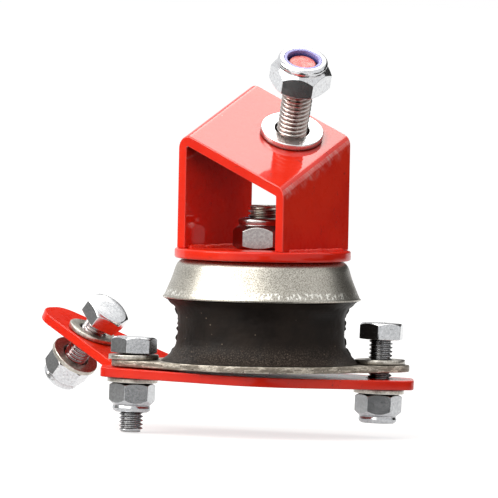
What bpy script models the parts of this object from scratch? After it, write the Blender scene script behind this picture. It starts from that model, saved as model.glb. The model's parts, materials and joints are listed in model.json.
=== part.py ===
"""Engine mount: a rubber block bonded between an oval flange and a pressed cup.

A bracket folded from sheet and welded on a disc stands on the cup. A folded
lower plate with a raised ear hangs under the flange on two bolts.

X runs across the bracket's channel, Y along it and Z up the mount's axis. The
origin is on that axis, at the underside of the flange. Lengths are in metres.
"""
import math

import bmesh
import bpy
from mathutils import Matrix, Vector

MM = 0.001

# Clearances between separate pieces
SEAT_GAP = 0.2 * MM
THREAD_PLAY = 0.25 * MM
WASHER_PLAY = 0.6 * MM
HOLE_PLAY = 0.6 * MM
RECESS_PLAY = 0.4 * MM

# Eight millimetre fasteners
M8_THREAD = 7.8 * MM
M8_FLATS = 13.0 * MM
M8_HEAD_HEIGHT = 5.2 * MM
M8_BOLT_LENGTH = 25.0 * MM
M8_NUT_HEIGHT = 9.2 * MM
M8_COLLAR_HEIGHT = 2.4 * MM
M8_COLLAR_DIAMETER = 12.2 * MM
M8_WASHER_DIAMETER = 16.0 * MM
M8_WASHER_THICKNESS = 1.5 * MM

# Ten millimetre fasteners
M10_THREAD = 9.8 * MM
M10_FLATS = 17.0 * MM
M10_HEAD_HEIGHT = 6.4 * MM
M10_BOLT_LENGTH = 30.0 * MM
M10_NUT_HEIGHT = 10.0 * MM
M10_COLLAR_HEIGHT = 2.6 * MM
M10_COLLAR_DIAMETER = 16.0 * MM
M10_WASHER_DIAMETER = 20.0 * MM
M10_WASHER_THICKNESS = 2.0 * MM

# Shared details of the fasteners
RING_HEIGHT = 2.0 * MM
RING_WALL = 0.8 * MM
COLLAR_LIP = 0.5 * MM
TIP_CHAMFER = 1.0 * MM
HEX_CHAMFER_ANGLE = math.radians(30)
HEX_FACE_SHARE = 0.95
FLAT_FORWARD = math.radians(30)
BLANK_MARGIN = 1.01

# Base flange, its long axis turned away from the bracket's X
BASE_TURN = math.radians(33)
FLANGE_THICKNESS = 2.1 * MM
FLANGE_MIDDLE_RADIUS = 32.5 * MM
FLANGE_END_RADIUS = 9.5 * MM
FLANGE_END_CENTRE = 37.8 * MM
SLOT_PAST_END = 1.3 * MM
SLOT_CENTRE = FLANGE_END_CENTRE + SLOT_PAST_END
SLOT_TRAVEL = 2.0 * MM

# Lower plate, hanging lower at its right end. Both bolts sit left in their slots
SHEET = 3.0 * MM
SHEET_EDGE_ROUND = 0.4 * MM
PLATE_DROOP = math.radians(1.4)
BOLT_SHIFT = 1.3 * MM
LEFT_BOLT_X = -SLOT_CENTRE - BOLT_SHIFT
RIGHT_BOLT_X = SLOT_CENTRE - BOLT_SHIFT
PLATE_LEFT = 10.2 * MM
PLATE_RIGHT = 11.0 * MM
PLATE_FRONT_BULGE = 33.0 * MM
PLATE_FRONT_RADIUS = 30.0 * MM
PLATE_END_FRONT = 8.5 * MM
PLATE_END_BACK = 10.5 * MM
PLATE_LEFT_CORNER = 3.0 * MM
PLATE_RIGHT_CORNER = 5.0 * MM

# Ear, folded up along a line that is parallel to the bracket's Y
FOLD_X = -45.0 * MM
FOLD_FRONT_Y = -15.6 * MM
FOLD_LENGTH = 41.3 * MM
FOLD_RADIUS = 3.0 * MM
EAR_ANGLE = math.radians(24)
EAR_LENGTH = 39.8 * MM
EAR_TIP_FRONT = 7.0 * MM
EAR_TIP_WIDTH = 14.3 * MM
EAR_FRONT_RADIUS = 8.5 * MM
EAR_BACK_RADIUS = 6.5 * MM
EAR_HOLE_ALONG = 13.0 * MM
EAR_HOLE_UP = 21.2 * MM
EAR_HOLE_PLAY = 1.1 * MM

# Ear bolt, loose and leaning in its hole
EAR_BOLT_LEAN = math.radians(18)
EAR_BOLT_SIDE_LEAN = math.radians(8)
EAR_HEAD_LIFT = 8.3 * MM
EAR_GRIP = 16.2 * MM

# Right bolt, standing out of its washer
RIGHT_HEAD_LIFT = 6.3 * MM

# Cup and rubber
CUP_BOTTOM = 22.1 * MM
CUP_TOP = 34.6 * MM
CUP_WALL = 2.0 * MM
CUP_RIM_RADIUS = 31.5 * MM
CUP_SHOULDER_RADIUS = 27.6 * MM
CUP_SHOULDER_DROP = 2.6 * MM
CUP_ROOF_RADIUS = 24.6 * MM
CUP_SHOULDER_ARC = math.radians(65)
CUP_FLARE_CURVE = 0.86
RUBBER_FOOT_RADIUS = 31.6 * MM
RUBBER_WAIST_RADIUS = 26.5 * MM
RUBBER_WAIST_Z = 13.3 * MM
RUBBER_LIP_RADIUS = 30.6 * MM
RUBBER_FOOT_CURVE = 3.5
RUBBER_LIP_CURVE = 4

# Bracket on its disc
DISC_RADIUS = 28.0 * MM
DISC_THICKNESS = 3.0 * MM
CHANNEL_WIDTH = 40.1 * MM
CHANNEL_DEPTH = 38.3 * MM
CHANNEL_HEIGHT = 36.7 * MM
CHANNEL_BEND = 0.4 * MM
SLOPE_ALONG = math.radians(22.9)
SLOPE_ACROSS = math.radians(21.9)
WELD_LEG = 2.0 * MM
WELD_HOLLOW = 0.25
INNER_WELD_LENGTH = 35.0 * MM
OUTER_WELD_LENGTH = 32.0 * MM

# Stud and top bolt
STUD_ABOVE_DISC = 14.2 * MM
STUD_HEAD_RADIUS = 12.0 * MM
STUD_HEAD_HEIGHT = 3.0 * MM
TOP_BOLT_X = 5.9 * MM
TOP_BOLT_Y = 6.2 * MM
TOP_NUT_LIFT = 16.2 * MM

# How far each hexagon is turned about its own axis, from a flat that faces -Y
LEFT_HEX_TURN = math.radians(12.7)
RIGHT_HEAD_TURN = math.radians(22.5)
RIGHT_NUT_TURN = math.radians(-2)
EAR_HEAD_TURN = math.radians(-16)
EAR_NUT_TURN = math.radians(-36)
TOP_NUT_TURN = math.radians(24)
STUD_NUT_TURN = math.radians(22)

ROUND_STEPS = 40
FASTENER_STEPS = 24
CURVE_STEPS = 4
RUBBER_STEPS = 9
ARC_STEP = math.radians(15)

RED_PAINT = ((0.72, 0.035, 0.02), 0.3, 0.0)
BRIGHT_ZINC = ((0.68, 0.7, 0.72), 0.3, 1.0)
DULL_ZINC = ((0.55, 0.53, 0.48), 0.45, 1.0)
CUP_STEEL = ((0.6, 0.58, 0.53), 0.4, 1.0)
BLACK_RUBBER = ((0.02, 0.015, 0.012), 0.75, 0.0)
BLUE_NYLON = ((0.08, 0.07, 0.4), 0.45, 0.0)

M8 = {
    "thread": M8_THREAD, "flats": M8_FLATS, "head": M8_HEAD_HEIGHT, "length": M8_BOLT_LENGTH,
    "nut": M8_NUT_HEIGHT, "collar": M8_COLLAR_HEIGHT, "collar_radius": M8_COLLAR_DIAMETER / 2,
    "washer_radius": M8_WASHER_DIAMETER / 2, "washer": M8_WASHER_THICKNESS,
}
M10 = {
    "thread": M10_THREAD, "flats": M10_FLATS, "head": M10_HEAD_HEIGHT, "length": M10_BOLT_LENGTH,
    "nut": M10_NUT_HEIGHT, "collar": M10_COLLAR_HEIGHT, "collar_radius": M10_COLLAR_DIAMETER / 2,
    "washer_radius": M10_WASHER_DIAMETER / 2, "washer": M10_WASHER_THICKNESS,
}

# Heights that follow from the sizes above
DISC_BOTTOM = CUP_TOP + SEAT_GAP
DISC_TOP = DISC_BOTTOM + DISC_THICKNESS
CUP_ROOF_UNDER = CUP_TOP - CUP_WALL
PLATE_DROP = SEAT_GAP + (FLANGE_END_CENTRE + FLANGE_END_RADIUS) * math.tan(PLATE_DROOP)


def start_scene():
    """Remove what the scene holds and make the two collections."""
    for thing in list(bpy.data.objects):
        bpy.data.objects.remove(thing, do_unlink=True)
    collections = []
    for name in ("engine_mount", "cutters"):
        collection = bpy.data.collections.new(name)
        bpy.context.scene.collection.children.link(collection)
        collections.append(collection)
    return collections


PARTS, CUTTERS = start_scene()


def frame(name, parent=None, location=(0, 0, 0), rotation=(0, 0, 0)):
    """An empty that carries pieces, so that they share its place and tilt."""
    empty = bpy.data.objects.new(name, None)
    empty.empty_display_size = 5 * MM
    place(empty, parent, location, rotation)
    PARTS.objects.link(empty)
    return empty


def place(thing, parent=None, location=(0, 0, 0), rotation=(0, 0, 0)):
    thing.parent = parent
    thing.location = location
    thing.rotation_euler = rotation


def piece(name, mesh, finish):
    """A sub-part with a material of its own."""
    thing = bpy.data.objects.new(name, mesh)
    colour, roughness, metallic = finish
    material = bpy.data.materials.new(name + "_finish")
    material.use_nodes = True
    shader = material.node_tree.nodes["Principled BSDF"]
    shader.inputs["Base Color"].default_value = (*colour, 1.0)
    shader.inputs["Roughness"].default_value = roughness
    shader.inputs["Metallic"].default_value = metallic
    material.diffuse_color = (*colour, 1.0)
    mesh.materials.append(material)
    PARTS.objects.link(thing)
    return thing


def cutter(name, mesh):
    thing = bpy.data.objects.new(name, mesh)
    thing.display_type = "WIRE"
    thing.hide_render = True
    CUTTERS.objects.link(thing)
    return thing


def add_boolean(thing, operand, operation):
    boolean = thing.modifiers.new(operand.name, "BOOLEAN")
    boolean.operation = operation
    boolean.solver = "EXACT"
    boolean.object = operand


def add_bevel(thing, width, segments=2):
    bevel = thing.modifiers.new("rounded_edges", "BEVEL")
    bevel.width = width
    bevel.segments = segments
    bevel.limit_method = "ANGLE"
    bevel.angle_limit = math.radians(40)


def add_screw(thing, steps):
    screw = thing.modifiers.new("turned", "SCREW")
    screw.axis = "Z"
    screw.steps = steps
    screw.render_steps = steps
    screw.use_merge_vertices = True
    screw.merge_threshold = 0.01 * MM
    screw.use_smooth_shade = True


def profile_mesh(name, points, closed):
    """A profile of (radius, height) points in the XZ plane, ready to be turned."""
    mesh = bpy.data.meshes.new(name)
    last = len(points) if closed else len(points) - 1
    edges = [(index, (index + 1) % len(points)) for index in range(last)]
    mesh.from_pydata([(radius, 0, height) for radius, height in points], edges, [])
    return mesh


def turned(name, points, finish, steps=ROUND_STEPS):
    """A turned piece. A profile that starts on the axis is solid, else it is a ring."""
    closed = points[0][0] > 0
    thing = piece(name, profile_mesh(name, points, closed), finish)
    add_screw(thing, steps)
    return thing


def cylinder_mesh(name, radius, low, high, steps=FASTENER_STEPS):
    mesh = bpy.data.meshes.new(name)
    shape = bmesh.new()
    bmesh.ops.create_cone(
        shape, cap_ends=True, segments=steps, radius1=radius, radius2=radius, depth=high - low,
        matrix=Matrix.Translation((0, 0, (low + high) / 2)),
    )
    shape.to_mesh(mesh)
    shape.free()
    return mesh


def box_mesh(name, low, high):
    mesh = bpy.data.meshes.new(name)
    shape = bmesh.new()
    bmesh.ops.create_cube(shape, size=1)
    size = Vector(high) - Vector(low)
    bmesh.ops.scale(shape, vec=size, verts=shape.verts)
    bmesh.ops.translate(shape, vec=(Vector(high) + Vector(low)) / 2, verts=shape.verts)
    shape.to_mesh(mesh)
    shape.free()
    return mesh


def rounded_outline(corners):
    """Points of a flat outline. Each corner is (x, y, radius), and 0 stays sharp."""
    points = []
    for index, (x, y, radius) in enumerate(corners):
        here = Vector((x, y))
        if radius == 0:
            points.append(here)
            continue
        back = (Vector(corners[index - 1][:2]) - here).normalized()
        ahead = (Vector(corners[(index + 1) % len(corners)][:2]) - here).normalized()
        half = back.angle(ahead) / 2
        centre = here + (back + ahead).normalized() * radius / math.sin(half)
        start = here + back * radius / math.tan(half) - centre
        turn = math.pi - 2 * half
        if back.x * ahead.y - back.y * ahead.x > 0:
            turn = -turn
        count = max(2, math.ceil(abs(turn) / ARC_STEP))
        for step in range(count + 1):
            arm = Matrix.Rotation(turn * step / count, 2) @ start
            points.append(centre + arm)
    return points


def hexagon_cutter(name, flats, low, high, turn):
    """A long hexagonal bar that mills a turned blank down to six flats."""
    mesh = cylinder_mesh(name, flats / 2 / math.cos(math.pi / 6), low, high, steps=6)
    mesh.transform(Matrix.Rotation(turn + FLAT_FORWARD, 4, "Z"))
    return cutter(name, mesh)


def hex_corner(flats):
    """Radius of the blank that a hexagon is milled from, just past its corners."""
    return flats / 2 / math.cos(math.pi / 6) * BLANK_MARGIN


def chamfer_drop(flats):
    """Height that the 30 degree chamfer takes off a hexagon's corners."""
    return (hex_corner(flats) - flats / 2 * HEX_FACE_SHARE) * math.tan(HEX_CHAMFER_ANGLE)


def mill_hexagon(thing, flats, low, high, turn, parent, location, rotation):
    """Place a turned blank and its hexagonal cutter alike, and cut the six flats."""
    bar = hexagon_cutter(thing.name + "_hexagon", flats, low, high, turn)
    for each in (thing, bar):
        place(each, parent, location, rotation)
    add_boolean(thing, bar, "INTERSECT")


def hex_bolt(name, size, turn, parent, z, rotation=(0, 0, 0)):
    """A hexagon bolt that points down, with the underside of its head at z."""
    flats = size["flats"]
    corner = hex_corner(flats)
    drop = chamfer_drop(flats)
    shank = size["thread"] / 2
    end = -size["length"]
    blank = [
        (0, size["head"]), (flats / 2 * HEX_FACE_SHARE, size["head"]), (corner, size["head"] - drop),
        (corner, 0), (shank, 0), (shank, end + TIP_CHAMFER), (shank - TIP_CHAMFER, end), (0, end),
    ]
    bolt = turned(name, blank, BRIGHT_ZINC, FASTENER_STEPS)
    mill_hexagon(bolt, flats, end - MM, size["head"] + MM, turn, parent, (0, 0, z), rotation)
    return bolt


def lock_nut(name, size, turn, parent, z, pointing=1):
    """A locking nut and its nylon ring. The nut's seat is at z and its collar points away."""
    flats = size["flats"]
    corner = hex_corner(flats)
    drop = chamfer_drop(flats)
    bore = size["thread"] / 2 + THREAD_PLAY
    shoulder = size["nut"] - size["collar"]
    ring_in = bore
    ring_out = ring_in + RING_WALL
    groove = ring_out + SEAT_GAP
    ring_top = size["nut"] - COLLAR_LIP
    ring_low = ring_top - RING_HEIGHT
    collar = size["collar_radius"]
    blank = [
        (groove, size["nut"] - COLLAR_LIP / 2), (groove + COLLAR_LIP / 2, size["nut"]),
        (collar - COLLAR_LIP, size["nut"]), (collar, size["nut"] - COLLAR_LIP),
        (collar, shoulder), (flats / 2 * HEX_FACE_SHARE, shoulder), (corner, shoulder - drop),
        (corner, drop), (flats / 2 * HEX_FACE_SHARE, 0), (bore + COLLAR_LIP, 0), (bore, COLLAR_LIP),
        (bore, ring_low - SEAT_GAP), (groove, ring_low - SEAT_GAP),
    ]
    ring = [(ring_in, ring_top), (ring_out, ring_top), (ring_out, ring_low), (ring_in, ring_low)]
    flip = (0, 0, 0) if pointing > 0 else (math.pi, 0, 0)
    nut = turned(name, blank, BRIGHT_ZINC, FASTENER_STEPS)
    mill_hexagon(nut, flats, -MM, size["nut"] + MM, turn, parent, (0, 0, z), flip)
    insert = turned(name + "_ring", ring, BLUE_NYLON, FASTENER_STEPS)
    place(insert, parent, (0, 0, z), flip)


def washer(name, size, parent, location, rotation=(0, 0, 0)):
    """A flat washer whose lower face is at the given place."""
    bore = size["thread"] / 2 + WASHER_PLAY
    outer = size["washer_radius"]
    height = size["washer"]
    ring = [(bore, height), (outer, height), (outer, 0), (bore, 0)]
    disc = turned(name, ring, DULL_ZINC, FASTENER_STEPS)
    place(disc, parent, location, rotation)


def flange_gap(x):
    """Gap between the flange's underside and the plate's top face, at x along the flange."""
    return PLATE_DROP + x * math.tan(PLATE_DROOP)


def make_base_flange(base):
    """The oval foot: two small end arcs joined to a large middle by straight tangents."""
    lean = math.acos((FLANGE_MIDDLE_RADIUS - FLANGE_END_RADIUS) / FLANGE_END_CENTRE)
    reach_x = FLANGE_MIDDLE_RADIUS / math.cos(lean)
    reach_y = FLANGE_MIDDLE_RADIUS / math.sin(lean)
    outline = rounded_outline([
        (reach_x, 0, FLANGE_END_RADIUS), (0, reach_y, FLANGE_MIDDLE_RADIUS),
        (-reach_x, 0, FLANGE_END_RADIUS), (0, -reach_y, FLANGE_MIDDLE_RADIUS),
    ])
    half_width = M8_THREAD / 2 + HOLE_PLAY
    half_length = half_width + SLOT_TRAVEL
    slots = []
    for side in (-1, 1):
        middle = side * SLOT_CENTRE
        slots.append(rounded_outline([
            (middle + half_length, half_width, half_width), (middle - half_length, half_width, half_width),
            (middle - half_length, -half_width, half_width), (middle + half_length, -half_width, half_width),
        ]))
    curve = bpy.data.curves.new("base_flange", "CURVE")
    curve.dimensions = "2D"
    curve.fill_mode = "BOTH"
    curve.extrude = FLANGE_THICKNESS / 2
    for points in [outline, *slots]:
        spline = curve.splines.new("POLY")
        spline.points.add(len(points) - 1)
        for point, (x, y) in zip(spline.points, points):
            point.co = (x, y, 0, 1)
        spline.use_cyclic_u = True
    flange = piece("base_flange", curve, DULL_ZINC)
    place(flange, base, (0, 0, FLANGE_THICKNESS / 2))
    weld = flange.modifiers.new("weld", "WELD")
    weld.merge_threshold = 0.01 * MM


def ear_outline():
    """The ear's corners as (along the fold, up the slope, radius), after the fold's ends."""
    return rounded_outline([
        (0, 0, 0), (EAR_TIP_FRONT, EAR_LENGTH, EAR_FRONT_RADIUS),
        (EAR_TIP_FRONT + EAR_TIP_WIDTH, EAR_LENGTH, EAR_BACK_RADIUS), (FOLD_LENGTH, 0, 0),
    ])


def make_lower_plate(plate, fold, ear):
    """One sheet: the flat, the bend turned about its axis, and the ear, then thickened."""
    to_flat = fold.matrix_basis
    setback = FOLD_RADIUS * math.tan(EAR_ANGLE / 2)
    fold_ends = [to_flat @ Vector((setback, y, 0)) for y in (0, FOLD_LENGTH)]
    left = LEFT_BOLT_X - PLATE_LEFT
    right = RIGHT_BOLT_X + PLATE_RIGHT
    outline = rounded_outline([
        (*fold_ends[0].xy, 0), (left, PLATE_END_FRONT, 0), (left, -PLATE_END_FRONT, PLATE_LEFT_CORNER),
        (0, -PLATE_FRONT_BULGE, PLATE_FRONT_RADIUS), (right, -PLATE_END_FRONT, PLATE_RIGHT_CORNER),
        (right, PLATE_END_BACK, PLATE_RIGHT_CORNER), (*fold_ends[1].xy, 0),
    ])
    shape = bmesh.new()
    corners = [shape.verts.new((x, y, 0)) for x, y in outline]
    shape.faces.new(corners)
    fold_edge = shape.edges.get((corners[0], corners[-1]))
    along = (fold_ends[1] - fold_ends[0]).normalized()
    bend = bmesh.ops.spin(
        shape, geom=[corners[0], corners[-1], fold_edge], cent=fold_ends[0] + Vector((0, 0, FOLD_RADIUS)),
        axis=along, angle=EAR_ANGLE, steps=CURVE_STEPS,
    )
    near, far = sorted(
        [item for item in bend["geom_last"] if isinstance(item, bmesh.types.BMVert)],
        key=lambda corner: (corner.co - fold_ends[0]).dot(along),
    )
    to_ear = to_flat @ ear.matrix_basis
    tip = [shape.verts.new(to_ear @ Vector((-up, y, 0))) for y, up in ear_outline()[1:-1]]
    shape.faces.new([near, *tip, far])
    bmesh.ops.recalc_face_normals(shape, faces=shape.faces)
    shape.faces.ensure_lookup_table()
    if shape.faces[0].normal.z < 0:
        bmesh.ops.reverse_faces(shape, faces=shape.faces)
    mesh = bpy.data.meshes.new("lower_plate")
    shape.to_mesh(mesh)
    shape.free()
    sheet = piece("lower_plate", mesh, RED_PAINT)
    place(sheet, plate)
    solidify = sheet.modifiers.new("sheet", "SOLIDIFY")
    solidify.thickness = SHEET
    solidify.offset = -1
    solidify.use_even_offset = True
    add_bevel(sheet, SHEET_EDGE_ROUND)
    hole = M8_THREAD / 2 + HOLE_PLAY
    for name, x in (("left", LEFT_BOLT_X), ("right", RIGHT_BOLT_X)):
        drill = cutter(name + "_plate_hole", cylinder_mesh(name + "_plate_hole", hole, -2 * SHEET, SHEET))
        place(drill, plate, (x, 0, 0))
        add_boolean(sheet, drill, "DIFFERENCE")
    ear_hole = M8_THREAD / 2 + EAR_HOLE_PLAY
    drill = cutter("ear_hole", cylinder_mesh("ear_hole", ear_hole, -2 * SHEET, SHEET))
    place(drill, ear, (-EAR_HOLE_UP, EAR_HOLE_ALONG, 0))
    add_boolean(sheet, drill, "DIFFERENCE")


def make_base_fasteners(base, plate):
    """Left and right bolts through the flange and the plate, square to the plate."""
    washer_top = FLANGE_THICKNESS + SEAT_GAP + M8_WASHER_THICKNESS
    tilt_play = M8_FLATS / 2 * math.tan(PLATE_DROOP)
    nut_washer = -SHEET - SEAT_GAP - M8_WASHER_THICKNESS
    sides = (
        ("left", LEFT_BOLT_X, SEAT_GAP + tilt_play, LEFT_HEX_TURN, -LEFT_HEX_TURN),
        ("right", RIGHT_BOLT_X, RIGHT_HEAD_LIFT, RIGHT_HEAD_TURN, RIGHT_NUT_TURN),
    )
    for side, x, lift, head_turn, nut_turn in sides:
        axis = frame(side + "_bolt_axis", plate, (x, 0, 0))
        head_washer_x = x + (FLANGE_THICKNESS + flange_gap(x)) * math.sin(PLATE_DROOP)
        washer(side + "_head_washer", M8, base, (head_washer_x, 0, FLANGE_THICKNESS + SEAT_GAP))
        washer(side + "_nut_washer", M8, axis, (0, 0, nut_washer))
        hex_bolt(side + "_bolt", M8, head_turn, axis, flange_gap(x) + washer_top + lift)
        lock_nut(side + "_nut", M8, nut_turn, axis, nut_washer - SEAT_GAP, pointing=-1)


def make_ear_fasteners(ear):
    """A loose bolt that leans in the ear's hole. Its upper washer lies flat on the ear."""
    hole = frame("ear_hole_centre", ear, (-EAR_HOLE_UP, EAR_HOLE_ALONG, -SHEET / 2))
    side = frame("ear_side_lean", hole, rotation=(EAR_BOLT_SIDE_LEAN, 0, 0))
    axis = frame("ear_bolt_axis", side, rotation=(0, EAR_BOLT_LEAN, 0))
    lean = (side.matrix_basis @ axis.matrix_basis).to_3x3() @ Vector((0, 0, 1))
    washer_low = SHEET / 2 + SEAT_GAP
    centre = lean * (washer_low + M8_WASHER_THICKNESS / 2) / lean.z
    washer("ear_head_washer", M8, hole, (centre.x, centre.y, washer_low))
    hex_bolt("ear_bolt", M8, EAR_HEAD_TURN, axis, EAR_HEAD_LIFT)
    nut_washer = EAR_HEAD_LIFT - EAR_GRIP - M8_WASHER_THICKNESS
    washer("ear_nut_washer", M8, axis, (0, 0, nut_washer))
    lock_nut("ear_nut", M8, EAR_NUT_TURN, axis, nut_washer - SEAT_GAP, pointing=-1)


def cup_outside():
    """The cup's outer line as (radius, height), from the roof down to the rim."""
    shoulder = CUP_TOP - CUP_SHOULDER_DROP
    shoulder_run = (CUP_SHOULDER_RADIUS - CUP_ROOF_RADIUS) / math.sin(CUP_SHOULDER_ARC)
    shoulder_fall = CUP_SHOULDER_DROP / (1 - math.cos(CUP_SHOULDER_ARC))
    points = []
    for step in range(CURVE_STEPS + 1):
        angle = CUP_SHOULDER_ARC * step / CURVE_STEPS
        points.append((
            CUP_ROOF_RADIUS + shoulder_run * math.sin(angle), CUP_TOP - shoulder_fall * (1 - math.cos(angle)),
        ))
    for step in range(1, CURVE_STEPS + 1):
        share = step / CURVE_STEPS
        points.append((
            CUP_SHOULDER_RADIUS + (CUP_RIM_RADIUS - CUP_SHOULDER_RADIUS) * share,
            shoulder + (CUP_BOTTOM - shoulder) * share ** CUP_FLARE_CURVE,
        ))
    return points


def cup_inside(inset):
    """The cup's outer line moved inwards by inset, from the roof down."""
    outside = [Vector(point) for point in cup_outside()]
    inner = []
    for index, point in enumerate(outside):
        before = outside[max(index - 1, 0)]
        after = outside[min(index + 1, len(outside) - 1)]
        run = (after - before).normalized()
        if index == 0:
            run = Vector((1, 0))
        inner.append(point + Vector((run.y, -run.x)) * inset)
    inner[-1].y = CUP_BOTTOM
    return inner


def make_cup(upper):
    """A pressed cup: roof with the stud's hole, rounded shoulder, flaring wall."""
    hole = M10_THREAD / 2 + HOLE_PLAY
    outside = [(hole, CUP_TOP), *cup_outside()]
    inside = [tuple(point) for point in reversed(cup_inside(CUP_WALL))]
    cup = turned("mount_cup", [*outside, *inside, (hole, CUP_ROOF_UNDER)], CUP_STEEL)
    place(cup, upper)


def rubber_side(z, low):
    """Radius of the rubber's hollowed side at height z."""
    if z < RUBBER_WAIST_Z:
        share = (RUBBER_WAIST_Z - z) / (RUBBER_WAIST_Z - low)
        return RUBBER_WAIST_RADIUS + (RUBBER_FOOT_RADIUS - RUBBER_WAIST_RADIUS) * share ** RUBBER_FOOT_CURVE
    share = (z - RUBBER_WAIST_Z) / (CUP_BOTTOM - SEAT_GAP - RUBBER_WAIST_Z)
    return RUBBER_WAIST_RADIUS + (RUBBER_LIP_RADIUS - RUBBER_WAIST_RADIUS) * share ** RUBBER_LIP_CURVE


def make_rubber(base):
    """The bonded block: it fills the cup, has a waist, and flares on to the flange."""
    low = FLANGE_THICKNESS + SEAT_GAP
    lip = CUP_BOTTOM - SEAT_GAP
    filling = cup_inside(CUP_WALL + SEAT_GAP)
    roof = CUP_ROOF_UNDER - SEAT_GAP
    pocket = STUD_HEAD_RADIUS + SEAT_GAP
    floor = roof - STUD_HEAD_HEIGHT - SEAT_GAP
    side = []
    for step in range(RUBBER_STEPS + 1):
        z = lip + (low - lip) * (0.5 - 0.5 * math.cos(math.pi * step / RUBBER_STEPS))
        side.append((rubber_side(z, low), z))
    profile = [
        (pocket, floor), (pocket, roof), *[tuple(point) for point in filling[:-1]],
        (filling[-1].x, lip), *side,
    ]
    block = turned("rubber_block", [(0, floor), *profile, (0, low)], BLACK_RUBBER)
    place(block, base)
    recess = M8_WASHER_DIAMETER / 2 + RECESS_PLAY
    for name, x in (("left", LEFT_BOLT_X), ("right", RIGHT_BOLT_X)):
        round_bar = cylinder_mesh(name + "_recess", recess, 0, RUBBER_WAIST_Z)
        notch = cutter(name + "_recess", round_bar)
        place(notch, base, (x, 0, 0))
        add_boolean(block, notch, "DIFFERENCE")


def make_stud(upper):
    """A stud with a round head under the cup's roof, and its locking nut on the disc."""
    head_top = CUP_ROOF_UNDER - SEAT_GAP
    top = DISC_TOP + STUD_ABOVE_DISC
    shank = M10_THREAD / 2
    stud = turned("centre_stud", [
        (0, top), (shank - TIP_CHAMFER, top), (shank, top - TIP_CHAMFER), (shank, head_top),
        (STUD_HEAD_RADIUS, head_top), (STUD_HEAD_RADIUS, head_top - STUD_HEAD_HEIGHT),
        (0, head_top - STUD_HEAD_HEIGHT),
    ], DULL_ZINC, FASTENER_STEPS)
    place(stud, upper)
    lock_nut("stud_nut", M10, STUD_NUT_TURN, upper, DISC_TOP + SEAT_GAP)


def make_disc(upper):
    """The round plate that the channel is welded to, with the stud's hole."""
    hole = M10_THREAD / 2 + HOLE_PLAY
    disc = turned("bracket_disc", [
        (hole, DISC_TOP), (DISC_RADIUS, DISC_TOP), (DISC_RADIUS, DISC_BOTTOM), (hole, DISC_BOTTOM),
    ], RED_PAINT)
    add_bevel(disc, SHEET_EDGE_ROUND, segments=1)
    place(disc, upper)


def channel_section():
    """Outer line of the folded sheet, across the slope: left wall, top, right wall."""
    side = CHANNEL_WIDTH / 2
    fall = side * math.tan(SLOPE_ACROSS)
    bend = CHANNEL_BEND + SHEET
    low = -2 * CHANNEL_HEIGHT
    return rounded_outline([(-side, low, 0), (-side, fall, bend), (side, -fall, bend), (side, low, 0)])


def make_channel(upper):
    """A prism of sheet that leans back along the slope, trimmed square to the disc."""
    top = frame("slope_frame", upper, (0, 0, DISC_TOP + CHANNEL_HEIGHT), (SLOPE_ALONG, 0, 0))
    section = channel_section()
    shape = bmesh.new()
    rails = []
    for y in (-CHANNEL_DEPTH, CHANNEL_DEPTH):
        rails.append([shape.verts.new((x, y, z)) for x, z in section])
    for index in range(len(section) - 1):
        front, back = rails
        shape.faces.new((front[index], front[index + 1], back[index + 1], back[index]))
    mesh = bpy.data.meshes.new("bracket_channel")
    shape.to_mesh(mesh)
    shape.free()
    channel = piece("bracket_channel", mesh, RED_PAINT)
    place(channel, top)
    solidify = channel.modifiers.new("sheet", "SOLIDIFY")
    solidify.thickness = SHEET
    solidify.offset = -1
    solidify.use_even_offset = True
    low = (-CHANNEL_WIDTH, -CHANNEL_DEPTH / 2, DISC_TOP + SEAT_GAP)
    high = (CHANNEL_WIDTH, CHANNEL_DEPTH / 2, DISC_TOP + 3 * CHANNEL_HEIGHT)
    trim = cutter("channel_trim", box_mesh("channel_trim", low, high))
    place(trim, upper)
    add_boolean(channel, trim, "INTERSECT")
    add_bevel(channel, SHEET_EDGE_ROUND)
    across = TOP_BOLT_X / math.cos(SLOPE_ACROSS)
    sideways = TOP_BOLT_X * math.tan(SLOPE_ACROSS) * math.sin(SLOPE_ALONG)
    along = (TOP_BOLT_Y - sideways) / math.cos(SLOPE_ALONG)
    flat = frame("slope_flat", top, rotation=(0, SLOPE_ACROSS, 0))
    axis = frame("top_bolt_axis", flat, (across, along, 0))
    hole = cylinder_mesh("top_hole", M10_THREAD / 2 + HOLE_PLAY, -2 * SHEET, SHEET)
    drill = cutter("top_hole", hole)
    place(drill, axis)
    add_boolean(channel, drill, "DIFFERENCE")
    return axis


def make_top_fasteners(axis):
    """The bolt whose head is under the slope, its washer, and the nut near its end."""
    head = -SHEET - SEAT_GAP
    hex_bolt("top_bolt", M10, 0, axis, head, rotation=(math.pi, 0, 0))
    washer("top_washer", M10, axis, (0, 0, SEAT_GAP))
    washer_top = SEAT_GAP + M10_WASHER_THICKNESS
    lock_nut("top_nut", M10, TOP_NUT_TURN, axis, washer_top + TOP_NUT_LIFT)


def make_weld(name, length, x, upper):
    """A bead in the corner between a wall and the disc, round on its open side."""
    points = [(0, 0)]
    for step in range(CURVE_STEPS + 1):
        angle = math.pi / 2 * step / CURVE_STEPS
        bulge = WELD_LEG * (1 - WELD_HOLLOW * math.sin(2 * angle))
        points.append((bulge * math.cos(angle), bulge * math.sin(angle)))
    shape = bmesh.new()
    ends = []
    for y in (-length / 2, length / 2):
        ends.append([shape.verts.new((u, y, w)) for u, w in points])
    front, back = ends
    shape.faces.new(front)
    shape.faces.new(list(reversed(back)))
    for index in range(len(points)):
        after = (index + 1) % len(points)
        shape.faces.new((front[index], back[index], back[after], front[after]))
    bmesh.ops.recalc_face_normals(shape, faces=shape.faces)
    mesh = bpy.data.meshes.new(name)
    shape.to_mesh(mesh)
    shape.free()
    bead = piece(name, mesh, RED_PAINT)
    place(bead, upper, (x, 0, DISC_TOP + SEAT_GAP))


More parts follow.
